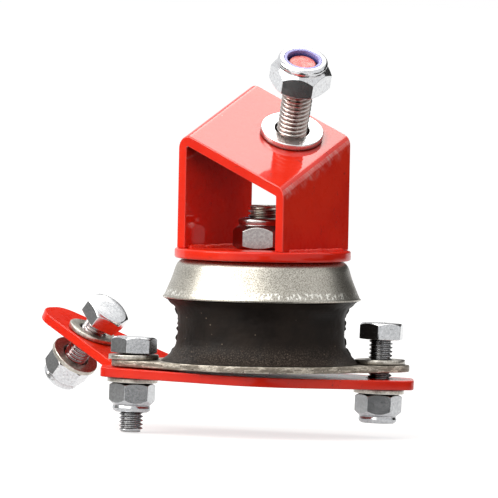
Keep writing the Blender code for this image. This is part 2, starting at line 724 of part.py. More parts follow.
def shade_round_pieces():
    for thing in PARTS.objects:
        if thing.type == "MESH":
            thing.data.shade_smooth()
            thing.data.set_sharp_from_angle(angle=math.radians(35))


def build():
    base = frame("base_frame", rotation=(0, 0, BASE_TURN))
    plate = frame("plate_frame", base, (0, 0, -PLATE_DROP), (0, PLATE_DROOP, 0))
    corner = Matrix.Rotation(-BASE_TURN, 2) @ Vector((FOLD_X, FOLD_FRONT_Y))
    fold = frame("fold_frame", plate, (corner.x, corner.y, 0), (0, 0, -BASE_TURN))
    ear = frame("ear_frame", fold, rotation=(0, EAR_ANGLE, 0))
    upper = frame("upper_frame")
    make_base_flange(base)
    make_lower_plate(plate, fold, ear)
    make_base_fasteners(base, plate)
    make_ear_fasteners(ear)
    make_rubber(base)
    make_cup(upper)
    make_stud(upper)
    make_disc(upper)
    top_axis = make_channel(upper)
    make_top_fasteners(top_axis)
    wall = CHANNEL_WIDTH / 2
    make_weld("inner_weld", INNER_WELD_LENGTH, SHEET - wall + SEAT_GAP, upper)
    make_weld("outer_weld", OUTER_WELD_LENGTH, wall + SEAT_GAP, upper)
    shade_round_pieces()


build()
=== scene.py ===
# %% [markdown]
# # An engine mount, dressed for its portrait
# A rubber block is bonded between an oval steel foot and a pressed steel cup. A
# red bracket stands on the cup, a red plate hangs under the foot, and loose bolts,
# washers and locking nuts wait in their holes. The solids of the model give every
# place and size here. This script gives them rounded edges, threads and finishes.

# %% Load the solids
import json
import math

import bmesh
import bpy
import numpy as np
from mathutils import Matrix, Vector, noise


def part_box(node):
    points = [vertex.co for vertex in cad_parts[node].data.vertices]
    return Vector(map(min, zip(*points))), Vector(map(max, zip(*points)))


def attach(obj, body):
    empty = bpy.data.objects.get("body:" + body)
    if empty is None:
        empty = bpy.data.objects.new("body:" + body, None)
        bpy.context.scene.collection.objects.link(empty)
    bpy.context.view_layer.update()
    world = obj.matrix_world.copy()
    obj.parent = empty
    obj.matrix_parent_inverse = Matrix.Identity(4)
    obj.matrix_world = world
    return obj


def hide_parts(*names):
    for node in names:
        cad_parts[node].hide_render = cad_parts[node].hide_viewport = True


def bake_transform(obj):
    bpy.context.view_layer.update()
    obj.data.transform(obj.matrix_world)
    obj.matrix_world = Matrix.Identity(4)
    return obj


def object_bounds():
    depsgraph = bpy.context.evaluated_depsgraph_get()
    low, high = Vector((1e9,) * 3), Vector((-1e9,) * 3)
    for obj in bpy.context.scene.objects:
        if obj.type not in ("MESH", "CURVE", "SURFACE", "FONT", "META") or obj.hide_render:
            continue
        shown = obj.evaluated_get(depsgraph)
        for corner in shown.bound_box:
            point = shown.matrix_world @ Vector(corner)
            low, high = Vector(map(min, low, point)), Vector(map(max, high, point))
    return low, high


MM = 0.001
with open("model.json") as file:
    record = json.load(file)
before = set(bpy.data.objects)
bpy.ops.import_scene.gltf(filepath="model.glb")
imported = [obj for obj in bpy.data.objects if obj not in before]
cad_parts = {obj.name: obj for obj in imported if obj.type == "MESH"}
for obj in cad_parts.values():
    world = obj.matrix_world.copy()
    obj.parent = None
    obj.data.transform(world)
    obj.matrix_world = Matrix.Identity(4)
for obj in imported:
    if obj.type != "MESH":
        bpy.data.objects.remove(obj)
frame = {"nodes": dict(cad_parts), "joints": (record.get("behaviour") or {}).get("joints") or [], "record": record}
cad_box = [list(corner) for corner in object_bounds()]


def in_mm(length):
    return round(float(length) / MM, 2)


print("box of the solids in mm:", [[in_mm(value) for value in corner] for corner in cad_box])

# %% [markdown]
# ## Reading places from the solids
# A loose bolt leans, so its box alone doesn't say where it points. Each bolt that
# can slide has a joint along its own axis, and a washer's box is centred on that
# axis. A matrix built from those two lets each piece be shaped upright at the
# origin and then carried to its place in the mesh itself.

# %% Axes and centres
UP = Vector((0, 0, 1))
AT_ORIGIN = Matrix.Identity(4)
body_of_node = {
    node: body for body, nodes in frame["record"]["behaviour"]["bodies"].items() for node in nodes
}


def joint_axis(name):
    joint = next(joint for joint in frame["joints"] if joint["name"] == name)
    return Vector(joint["axis"]).normalized()


def middle(node):
    low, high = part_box(node)
    return (low + high) / 2


def upright(origin, axis):
    """The place of something that is shaped around Z at the origin."""
    return Matrix.Translation(origin) @ UP.rotation_difference(axis).to_matrix().to_4x4()


slope_axis = joint_axis("top_nut_travel")
plate_axis = joint_axis("right_bolt_travel")
ear_axis = joint_axis("ear_bolt_travel")
print("the slope's axis:", [round(value, 3) for value in slope_axis])

# %% [markdown]
# The nodes' own points also tell how far round, out and up each feature lies. One
# function turns them into those three numbers about any axis.

# %% Measure a solid about an axis


def points_of(node):
    return np.array([vertex.co for vertex in frame["nodes"][node].data.vertices])


def seen_from(node, place=AT_ORIGIN):
    """Angle, reach and height of a solid's points about a place's Z axis."""
    to_local = np.array(place.inverted())
    local = points_of(node) @ to_local[:3, :3].T + to_local[:3, 3]
    return np.arctan2(local[:, 1], local[:, 0]), np.hypot(local[:, 0], local[:, 1]), local[:, 2]


def thin_axis(node):
    """The direction in which a flat solid is thinnest, pointing up."""
    points = points_of(node)
    spread = np.linalg.svd(points - points.mean(axis=0), full_matrices=False)[2]
    axis = Vector(spread[-1])
    return axis if axis.z > 0 else -axis


def corner_angle(spin, reach):
    """Direction of a hexagon's corner, where the points reach furthest."""
    return spin[reach.argmax()]


print("the cup reaches", in_mm(seen_from("mount_cup")[1].max()), "mm from the mount's axis")

# %% [markdown]
# ## Shader building
# Every finish is a small web of nodes that reads object coordinates, in metres, so
# a pattern keeps its real size and stays on the metal in any view. These helpers
# keep the webs short to write.

# %% Node helpers


def set_inputs(node, values):
    """Give a node's inputs their values, or link them from sockets."""
    for name, value in dict(values).items():
        socket = node.inputs[name]
        if isinstance(value, bpy.types.NodeSocket):
            node.id_data.links.new(value, socket)
        else:
            socket.default_value = value


def add_node(tree, kind, inputs=(), **settings):
    made = tree.nodes.new(kind)
    for name, value in settings.items():
        setattr(made, name, value)
    set_inputs(made, inputs)
    return made


def arithmetic(tree, operation, *values):
    """One math node. Each value is a number or a socket."""
    return add_node(tree, "ShaderNodeMath", enumerate(values), operation=operation).outputs[0]


def plus(tree, first, second):
    return arithmetic(tree, "ADD", first, second)


def minus(tree, first, second):
    return arithmetic(tree, "SUBTRACT", first, second)


def times(tree, first, *others):
    """Numbers and sockets multiplied, with one node for each step."""
    for other in others:
        first = arithmetic(tree, "MULTIPLY", first, other)
    return first


def between(tree, value, low, high, to_low=0.0, to_high=1.0):
    """The value's place between two limits, smoothed and kept inside them."""
    inputs = {"Value": value, "From Min": low, "From Max": high, "To Min": to_low, "To Max": to_high}
    return add_node(tree, "ShaderNodeMapRange", inputs, interpolation_type="SMOOTHSTEP").outputs[0]


def split(tree, place):
    """The three coordinates, each as a socket of its own."""
    return add_node(tree, "ShaderNodeSeparateXYZ", {0: place}).outputs


def dot_product(tree, first, second):
    inputs = {0: first, 1: second}
    return add_node(tree, "ShaderNodeVectorMath", inputs, operation="DOT_PRODUCT").outputs["Value"]


def blend_colours(tree, share, first, second):
    inputs = {"Factor": share, 6: first, 7: second}
    return add_node(tree, "ShaderNodeMix", inputs, data_type="RGBA").outputs[2]


def new_finish(name):
    """A material, its node tree, its shader and a socket of object coordinates."""
    material = bpy.data.materials.new(name)
    material.use_nodes = True
    tree = material.node_tree
    place = add_node(tree, "ShaderNodeTexCoord").outputs["Object"]
    return material, tree, tree.nodes["Principled BSDF"], place


# %% [markdown]
# Wear isn't spread evenly over a real thing. Grain breaks it into patches, and a mask
# of the edges puts it where hands and tools rub, with a painted highlight there on the
# red paint. A mask of the corners puts painted shade where other surfaces are near,
# with dirt too on zinc. Each of these is one short function.

# %% Patterns and masks
EDGE_SAMPLES = 4


def stretched(tree, place, scale, turn=(0, 0, 0)):
    """Coordinates scaled by axis, so that round grains become streaks."""
    inputs = {"Vector": place, "Scale": scale, "Rotation": turn}
    return add_node(tree, "ShaderNodeMapping", inputs).outputs[0]


def grain(tree, place, scale, detail=3.0, rough=0.5):
    inputs = {"Vector": place, "Scale": scale, "Detail": detail, "Roughness": rough}
    return add_node(tree, "ShaderNodeTexNoise", inputs).outputs["Fac"]


def patchy(tree, place, scale, low, high, to_low=0.0, to_high=1.0, **looks):
    """Grain between two limits. Close limits give patches with clear borders."""
    return between(tree, grain(tree, place, scale, **looks), low, high, to_low, to_high)


def bump(tree, height, distance, strength=1.0, under=None):
    inputs = {"Height": height, "Distance": distance, "Strength": strength}
    if under is not None:
        inputs["Normal"] = under
    return add_node(tree, "ShaderNodeBump", inputs).outputs[0]


def edge_mask(tree, radius, sensitivity):
    """1 on edges narrower than the radius and 0 on flat faces."""
    softened = add_node(tree, "ShaderNodeBevel", {"Radius": radius}, samples=EDGE_SAMPLES).outputs[0]
    plain = add_node(tree, "ShaderNodeNewGeometry").outputs["Normal"]
    return between(tree, dot_product(tree, softened, plain), 1.0, 1.0 - sensitivity)


def sheltered(tree, reach, bare, full, most=1.0, samples=6):
    """More of something where other surfaces are near, as in a corner. Here it places painted shade, and on zinc
    dirt as well.
    """
    inputs = {"Distance": reach}
    open_share = add_node(tree, "ShaderNodeAmbientOcclusion", inputs, samples=samples).outputs["AO"]
    return between(tree, open_share, bare, full, 0.0, most)


def hair_lines(tree, place, scale, turn, width):
    """Thin broken lines, where a stretched grain crosses its middle value."""
    level = grain(tree, stretched(tree, place, scale, turn), 1.0, detail=1.0)
    line = between(tree, arithmetic(tree, "ABSOLUTE", minus(tree, level, 0.5)), width, 0.0)
    return times(tree, line, patchy(tree, place, 210.0, 0.60, 0.66, detail=2.0))


def specks(tree, place, scale, size, share):
    """Small round marks, in a chosen share of the cells that a space is divided into."""
    cells = add_node(tree, "ShaderNodeTexVoronoi", {"Vector": place, "Scale": scale})
    chosen = arithmetic(tree, "LESS_THAN", cells.outputs["Color"], share)
    return times(tree, between(tree, cells.outputs["Distance"], size, size * 0.4), chosen)


print("edge samples:", EDGE_SAMPLES)

# %% [markdown]
# ## Red paint
# The bracket and the plate are dipped in thick gloss enamel. It is smooth with a
# slight ripple, and a clear coat over a deep red gives its wet shine. It is paler
# along sheared edges, with a thin pink line right on them, partly paler paint and
# partly a painted highlight. It carries hair scratches, fine dark specks and a few
# pale crumbs. The Bevel node finds the edges without any painting by hand.

# %% Gloss enamel
ENAMEL_RED = (0.85, 0.028, 0.008, 1)
ENAMEL_DEEP = (0.75, 0.018, 0.006, 1)
EDGE_RED_AND_HIGHLIGHT = (0.96, 0.062, 0.030, 1)
EDGE_WIDTH = 0.5 * MM
RIM_PINK_AND_HIGHLIGHT = (1.0, 0.30, 0.23, 1)
RIM_WIDTH = 0.32 * MM
SCRATCH_DARK = (0.16, 0.012, 0.01, 1)
SCRATCH_STRETCH, SCRATCH_TURN, SCRATCH_WIDTH = (60, 900, 300), (0.3, 0.2, 0.6), 0.012
CRUMB_PINK = (0.95, 0.60, 0.52, 1)
# Specks as cells in a metre, their size in a cell, and the share of cells with one.
DARK_SPECKS = ((130.0, 0.045, 0.12), (290.0, 0.09, 0.16))
PALE_CRUMBS = (400.0, 0.10, 0.12)


def make_enamel(name, gloss, coat=1.0):
    """Gloss enamel, and the sockets that a more worn version builds on."""
    material, tree, shader, place = new_finish(name)
    body = blend_colours(tree, patchy(tree, place, 45.0, 0.35, 0.65, detail=4.0), ENAMEL_DEEP, ENAMEL_RED)
    # Paler red along the edges and a thin pink line on them: paler paint, and partly a painted highlight.
    edges = times(tree, edge_mask(tree, EDGE_WIDTH, 0.25), patchy(tree, place, 900.0, 0.25, 0.7, 0.35, 1.0))
    body = blend_colours(tree, edges, body, EDGE_RED_AND_HIGHLIGHT)
    rim_paint_and_highlight = times(tree, edge_mask(tree, RIM_WIDTH, 0.35), patchy(tree, place, 260.0, 0.35, 0.6, 0.2, 0.75))
    body = blend_colours(tree, rim_paint_and_highlight, body, RIM_PINK_AND_HIGHLIGHT)
    marks = hair_lines(tree, place, SCRATCH_STRETCH, SCRATCH_TURN, SCRATCH_WIDTH)
    for scale, size, share in DARK_SPECKS:
        marks = arithmetic(tree, "MAXIMUM", marks, specks(tree, place, scale, size, share))
    body = blend_colours(tree, times(tree, marks, 0.75), body, SCRATCH_DARK)
    body = blend_colours(tree, times(tree, specks(tree, place, *PALE_CRUMBS), 0.7), body, CRUMB_PINK)
    ripple = bump(tree, grain(tree, place, 320.0, detail=2.0), 0.05 * MM, 0.35)
    set_inputs(shader, {
        "Base Color": body,
        "Roughness": patchy(tree, place, 300.0, 0.3, 0.75, 0.24, 0.36, detail=6.0, rough=0.7),
        "Normal": bump(tree, minus(tree, 1.0, marks), 0.03 * MM, 0.6, ripple),
        "Specular IOR Level": 0.03, "Coat Weight": coat, "Coat Roughness": gloss, "Coat IOR": 1.5,
    })
    return material, tree, shader, place, body


plate_enamel = make_enamel("plate_enamel", 0.13, 0.5)[0]
print("paint made:", plate_enamel.name)

# %% [markdown]
# The bracket has one more mark, and painted shade. Something has rubbed its right
# wall just under the sloping top and left pale strokes. They lie in a band measured
# downwards from the slope, so a dot product with the slope's axis gives the depth
# under it. And its inside is painted darker, as painted shade under the roof: a
# wide mask of sheltered places, stronger towards the roof, deepens the red there.

# %% Rubbed enamel with painted shade for the bracket
SCUFF_PALE = (0.90, 0.60, 0.56, 1)
SCUFF_TOP, SCUFF_FOOT = 0.8 * MM, 6.4 * MM
SCUFF_RAGGED = 2.5 * MM
SCUFF_LEAN = 0.9
WALL_DEPTH = 0.6 * MM
PAINTED_SHADE_RED = (0.22, 0.006, 0.003, 1)
PAINTED_SHADE_REACH = 20 * MM
PAINTED_SHADE_FOOT, PAINTED_SHADE_ROOF = 46 * MM, 66 * MM


def make_rubbed_enamel_with_shade():
    material, tree, shader, place, body = make_enamel("bracket_enamel", 0.06)
    depth = minus(tree, middle("top_washer").dot(slope_axis), dot_product(tree, place, slope_axis))
    near = between(tree, depth, SCUFF_TOP, SCUFF_TOP + 1.0 * MM)
    ragged = patchy(tree, place, 350.0, 0.3, 0.7, 0.0, SCUFF_RAGGED, detail=2.0)
    far = between(tree, plus(tree, depth, ragged), SCUFF_FOOT, SCUFF_TOP + 1.2 * MM)
    x, y, z = split(tree, place)
    on_wall = arithmetic(tree, "GREATER_THAN", x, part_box("bracket_channel")[1].x - WALL_DEPTH)
    leaning = minus(tree, y, times(tree, depth, SCUFF_LEAN))
    inputs = {0: times(tree, leaning, 2000.0), 1: times(tree, depth, 90.0)}
    along = add_node(tree, "ShaderNodeCombineXYZ", inputs).outputs[0]
    strokes = patchy(tree, along, 1.0, 0.28, 0.80, detail=5.0, rough=0.7)
    clouds = patchy(tree, place, 60.0, 0.36, 0.60, 0.35, 1.0, detail=2.0)
    scuffs = times(tree, on_wall, near, far, strokes, clouds, 0.8)
    rubbed = blend_colours(tree, scuffs, body, SCUFF_PALE)
    # Painted shade: the red darkens where surfaces are near, more towards the roof.
    shade_towards_roof = between(tree, z, PAINTED_SHADE_FOOT, PAINTED_SHADE_ROOF, 0.25, 1.0)
    painted_shade = times(tree, sheltered(tree, PAINTED_SHADE_REACH, 0.92, 0.42, 0.95, samples=8), shade_towards_roof)
    set_inputs(shader, {"Base Color": blend_colours(tree, painted_shade, rubbed, PAINTED_SHADE_RED)})
    return material


bracket_enamel = make_rubbed_enamel_with_shade()
print("rubbed band under the slope in mm:", in_mm(SCUFF_TOP), "to", in_mm(SCUFF_FOOT))

# %% [markdown]
# ## Zinc
# The bolts and nuts are grey zinc with faint mottling: brighter on the top nut and
# on the ear's fastener and warmer on the top bolt. The stud's nut has a darker copy,
# which paints the bracket's shade on it. The lower washers and the foot are older,
# with a coarser bite, and the foot's sheared edge has dark streaks. Patches of dirt
# darken them, and their corners and thread roots are darker, partly dirt and partly
# painted shade, reddish on the parts beside the red paint. One function makes all
# of them from a few numbers. Metals show their surroundings, so most of their look
# comes from roughness and fine bump.

# %% Zinc finishes
DIRT_AND_SHADE = (0.075, 0.062, 0.052, 1)
RED_DIRT_AND_SHADE = (0.16, 0.05, 0.035, 1)
CORNER_SHADE_REACH = 1.1 * MM
EDGE_WHITE = (0.86, 0.86, 0.86, 1)
EDGE_WORN = 0.3 * MM
STREAK_DARK = (0.09, 0.068, 0.048, 1)
STREAK_STRETCH = (260, 260, 1250)
STREAK_DEPTH = 0.06 * MM
FINE_BITE, WASHER_BITE, DULL_BITE, FOOT_BITE = 0.008 * MM, 0.006 * MM, 0.02 * MM, 0.03 * MM


def make_zinc(name, light, dark, roughness, bite, dirt_and_shade=DIRT_AND_SHADE, layers=0.0):
    """A plated steel. Bite is the depth of its grain and layers its sheared streaks."""
    material, tree, shader, place = new_finish(name)
    mottle = patchy(tree, place, 1300.0, 0.36, 0.68, detail=4.0, rough=0.6)
    colour = blend_colours(tree, mottle, (*dark, 1), (*light, 1))
    colour = blend_colours(tree, patchy(tree, place, 2100.0, 0.66, 0.74, 0.0, 0.5, detail=1.0), colour, dirt_and_shade)
    colour = blend_colours(tree, edge_mask(tree, EDGE_WORN, 0.2), colour, EDGE_WHITE)
    # Corners and thread roots are darkened, partly dirt and partly painted shade.
    colour = blend_colours(tree, sheltered(tree, CORNER_SHADE_REACH, 0.92, 0.45, 0.85), colour, dirt_and_shade)
    height = bump(tree, grain(tree, place, 2600.0, detail=2.0), bite, 0.5)
    if layers:
        run = stretched(tree, place, STREAK_STRETCH)
        streaks = patchy(tree, run, 1.0, 0.40, 0.53, detail=5.0, rough=0.75)
        pits = patchy(tree, place, 1300.0, 0.60, 0.70, detail=2.0)
        wear = arithmetic(tree, "MAXIMUM", times(tree, streaks, layers), pits)
        colour = blend_colours(tree, wear, colour, STREAK_DARK)
        height = bump(tree, minus(tree, 1.0, wear), STREAK_DEPTH, 0.6, height)
    set_inputs(shader, {
        "Base Color": colour, "Metallic": 1.0 - 0.6 * layers, "Normal": height,
        "Roughness": patchy(tree, place, 140.0, 0.3, 0.7, roughness * 0.8, roughness * 1.25, detail=4.0),
    })
    return material


bright_zinc = make_zinc("bright_zinc", (0.74, 0.75, 0.76), (0.60, 0.61, 0.63), 0.15, FINE_BITE, RED_DIRT_AND_SHADE)
washer_zinc = make_zinc("washer_zinc", (0.74, 0.75, 0.75), (0.66, 0.67, 0.67), 0.28, WASHER_BITE)
bolt_zinc = make_zinc("bolt_zinc", (0.52, 0.47, 0.44), (0.38, 0.34, 0.315), 0.20, FINE_BITE, RED_DIRT_AND_SHADE)
# The stud's nut gets a darker copy, which paints the bracket's shade on it.
shade_zinc = make_zinc("shade_zinc", (0.40, 0.37, 0.36), (0.30, 0.27, 0.265), 0.20, FINE_BITE, RED_DIRT_AND_SHADE)
grey_zinc = make_zinc("grey_zinc", (0.56, 0.57, 0.585), (0.44, 0.45, 0.465), 0.17, FINE_BITE)
dull_zinc = make_zinc("dull_zinc", (0.66, 0.63, 0.57), (0.42, 0.39, 0.34), 0.34, DULL_BITE)
foot_steel = make_zinc("foot_steel", (0.74, 0.68, 0.59), (0.50, 0.45, 0.37), 0.45, FOOT_BITE, layers=0.7)
FASTENER_FINISHES = {
    "top_bolt": bolt_zinc, "ear_bolt": bright_zinc,
    "top_nut": bright_zinc, "ear_nut": bright_zinc, "stud_nut": shade_zinc,
}
print("fasteners not in grey zinc:", sorted(FASTENER_FINISHES))

# %% [markdown]
# ## Pressed cup, rubber and nylon
# The cup has a grain like fine sandpaper that sparkles where light grazes it, and a
# row of pale flecks above its lip. The rubber is brown-black, marked by its mould,
# and dusty near its foot. The nylon ring in a locking nut is a clear blue-violet
# with a little light passing through it.

# %% Pressed cup finish
CUP_DARK = (0.21, 0.194, 0.164, 1)
CUP_PALE = (0.64, 0.612, 0.545, 1)
CUP_CLOUD = (0.46, 0.435, 0.385, 1)
FLECK_PALE = (0.97, 0.96, 0.90, 1)
FLECK_FOOT, FLECK_TOP = 0.9 * MM, 3.4 * MM
FLECK_STRETCH = (1500, 1500, 700)


def make_cup_steel():
    material, tree, shader, place = new_finish("cup_steel")
    speckle = grain(tree, place, 4200.0, detail=2.0, rough=0.6)
    colour = blend_colours(tree, between(tree, speckle, 0.38, 0.62), CUP_DARK, CUP_PALE)
    height = split(tree, place)["Z"]
    foot, top = (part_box("mount_cup")[0].z + level for level in (FLECK_FOOT, FLECK_TOP))
    above, below = between(tree, height, foot, foot + 0.5 * MM), between(tree, height, top, top - 0.8 * MM)
    band = times(tree, above, below)
    flecks = patchy(tree, stretched(tree, place, FLECK_STRETCH), 1.0, 0.50, 0.60, detail=1.0)
    flecks = times(tree, flecks, patchy(tree, place, 75.0, 0.36, 0.50), band)
    colour = blend_colours(tree, flecks, colour, FLECK_PALE)
    cloud = times(tree, patchy(tree, place, 60.0, 0.35, 0.7), 0.25)
    set_inputs(shader, {
        "Base Color": blend_colours(tree, cloud, colour, CUP_CLOUD), "Metallic": 1.0,
        "Roughness": between(tree, speckle, 0.35, 0.65, 0.40, 0.30),
        "Normal": bump(tree, speckle, 0.045 * MM, 0.55),
    })
    return material


cup_steel = make_cup_steel()
print("flecks above the lip in mm:", in_mm(FLECK_FOOT), "to", in_mm(FLECK_TOP))

# %% Rubber and nylon finishes
RUBBER_BLACK = (0.0085, 0.006, 0.005, 1)
RUBBER_BROWN = (0.021, 0.015, 0.012, 1)
DUST_BROWN = (0.17, 0.135, 0.11, 1)
DUST_TOP, DUST_FOOT = 10 * MM, 3.2 * MM
CRUMB_PALE = (0.22, 0.17, 0.13, 1)
RUBBER_CRUMBS = (560.0, 0.17, 0.30)
MOULD_STRETCH = (50, 50, 2200)
NYLON_BLUE = (0.27, 0.26, 0.60, 1)
NYLON_PALE = (0.38, 0.37, 0.72, 1)
NYLON_SHADE = (0.055, 0.045, 0.23, 1)


def make_rubber_finish():
    material, tree, shader, place = new_finish("black_rubber")
    cloud = grain(tree, place, 80.0, detail=5.0, rough=0.6)
    colour = blend_colours(tree, between(tree, cloud, 0.35, 0.7), RUBBER_BLACK, RUBBER_BROWN)
    dust = grain(tree, place, 2400.0, rough=0.7)
    low = between(tree, split(tree, place)["Z"], DUST_TOP, DUST_FOOT)
    dusty = times(tree, between(tree, dust, 0.48, 0.66), low, 0.6)
    colour = blend_colours(tree, dusty, colour, DUST_BROWN)
    crumbs = times(tree, specks(tree, place, *RUBBER_CRUMBS), 0.75)
    lines = bump(tree, grain(tree, stretched(tree, place, MOULD_STRETCH), 1.0), 0.10 * MM, 0.5)
    skin = bump(tree, grain(tree, place, 260.0, detail=6.0, rough=0.65), 0.25 * MM, 0.5, lines)
    set_inputs(shader, {
        "Base Color": blend_colours(tree, crumbs, colour, CRUMB_PALE),
        "Roughness": between(tree, cloud, 0.3, 0.7, 0.42, 0.62),
        "Normal": bump(tree, dust, 0.06 * MM, 0.5, skin), "Specular IOR Level": 0.12,
    })
    return material


def make_nylon():
    material, tree, shader, place = new_finish("blue_nylon")
    colour = blend_colours(tree, patchy(tree, place, 400.0, 0.3, 0.7), NYLON_BLUE, NYLON_PALE)
    # Where other surfaces are near, as inside the ring, the blue darkens as painted shade.
    set_inputs(shader, {
        "Base Color": blend_colours(tree, sheltered(tree, 2.0 * MM, 0.80, 0.45), colour, NYLON_SHADE),
        "Normal": bump(tree, grain(tree, place, 900.0), 0.02 * MM, 0.4), "Roughness": 0.38,
        "Subsurface Weight": 0.15, "Subsurface Radius": (0.5 * MM, 0.5 * MM, 1.2 * MM),
    })
    return material


rubber_finish = make_rubber_finish()
blue_nylon = make_nylon()
print("other finishes:", cup_steel.name, rubber_finish.name, blue_nylon.name)

# %% [markdown]
# ## Skins made of rings
# Nuts, heads, washers, the cup and the rubber all go round an axis, yet a nut isn't
# round. Rings of points, each with its own reach and height at every angle, cover
# both. Joined ring to ring they give clean four-sided faces for smooth shading.

# %% Rings and lofts
COLUMNS = 144


def column_angles(turn=0.0, columns=COLUMNS):
    return turn + np.arange(columns) * 2 * math.pi / columns


def ring(reach, height, angles):
    """A loop of points. Reach and height are numbers or one value for each angle."""
    reach = np.broadcast_to(reach, angles.shape)
    height = np.broadcast_to(height, angles.shape)
    return np.stack([reach * np.cos(angles), reach * np.sin(angles), height], axis=1)


def loft(rings, closed=False):
    """A bmesh skin from ring to ring. A closed one is a tube, an open one gets end faces."""
    skin = bmesh.new()
    loops = [[skin.verts.new(point) for point in loop] for loop in rings]
    pairs = list(zip(loops, loops[1:]))
    if closed:
        pairs.append((loops[-1], loops[0]))
    for low, high in pairs:
        for index in range(len(low)):
            after = (index + 1) % len(low)
            skin.faces.new((low[index], low[after], high[after], high[index]))
    if not closed:
        skin.faces.new(loops[0])
        skin.faces.new(loops[-1])
    bmesh.ops.recalc_face_normals(skin, faces=skin.faces)
    return skin


def turned(profile, turn=0.0, closed=True):
    """A profile of (reach, height) pairs taken round the axis."""
    angles = column_angles(turn)
    return loft([ring(reach, height, angles) for reach, height in profile], closed)


def arc(reach, height, radius, start, stop, steps=5):
    """Points of a circle's arc in a profile, as (reach, height)."""
    sweep = np.radians(np.linspace(start, stop, steps))
    return [(reach + radius * math.cos(a), height + radius * math.sin(a)) for a in sweep]


print("columns round a turned piece:", COLUMNS)

# %% [markdown]
# A skin becomes a piece in two steps. First it is carried to its place, shaded and
# rounded. Then it takes over from its solid, on that solid's body.

# %% From a skin to a piece
ROUNDED_FROM = 24


def put_in_scene(name, data):
    made = bpy.data.objects.new(name, data)
    bpy.context.scene.collection.objects.link(made)
    return made


def evaluated_mesh(made):
    """The plain mesh that an object's modifiers or its curve give."""
    seen = made.evaluated_get(bpy.context.evaluated_depsgraph_get())
    return bpy.data.meshes.new_from_object(seen)


def round_edges(made, width, least_angle):
    edges = made.modifiers.new("rounded_edges", "BEVEL")
    edges.width = width
    edges.segments = 2
    edges.limit_method = "ANGLE"
    edges.angle_limit = math.radians(least_angle)
    return edges


def finish_piece(name, skin, material, place=AT_ORIGIN, sharp=32, rounding=0.0):
    """Turn a skin into an object whose place is in its mesh, shaded and rounded."""
    mesh = bpy.data.meshes.new(name)
    skin.to_mesh(mesh)
    skin.free()
    mesh.transform(place)
    mesh.materials.append(material)
    mesh.shade_smooth()
    mesh.set_sharp_from_angle(angle=math.radians(sharp))
    made = put_in_scene(name, mesh)
    if rounding:
        round_edges(made, rounding, ROUNDED_FROM)
    return made


def stands_for(made, node):
    """Let a piece take a solid's place and its body, and hide that solid."""
    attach(made, body_of_node[node])
    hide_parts(node)
    return made


print("edges are rounded from", ROUNDED_FROM, "degrees on")

# %% [markdown]
# ## Threads
# A thread is a helix, so its surface follows a rule. A Geometry Nodes tree wraps a
# flat grid round the bolt and lifts it by one pitch for each turn. A row of the
# grid then runs exactly along the crest or the root, which keeps the crests crisp
# with few faces. Rows past either end close the tip. Every tree here starts with
# named inputs and ends with real faces and a material, so two helpers write those.

# %% The thread's node tree
THREAD_COLUMNS = 48
ROWS_PER_PITCH = 8
CREST_UNTIL, ROOT_FROM = 0.1, 0.8
MERGE_WITHIN = 0.002 * MM


def begin_tree(name, sizes, counts=()):
    """A tree with its named inputs, and their sockets."""
    tree = bpy.data.node_groups.new(name, "GeometryNodeTree")
    kinds = {size: "Float" for size in sizes} | {count: "Int" for count in counts} | {"Finish": "Material"}
    for title, kind in kinds.items():
        tree.interface.new_socket(title, in_out="INPUT", socket_type="NodeSocket" + kind)
    tree.interface.new_socket("Geometry", in_out="OUTPUT", socket_type="NodeSocketGeometry")
    return tree, add_node(tree, "NodeGroupInput").outputs


def end_tree(tree, geometry, finish):
    """Real faces and a material come last, because an export drops instances."""
    real = add_node(tree, "GeometryNodeRealizeInstances", {0: geometry}).outputs[0]
    coated = add_node(tree, "GeometryNodeSetMaterial", {"Geometry": real, "Material": finish}).outputs[0]
    add_node(tree, "NodeGroupOutput", {0: coated})
    return tree


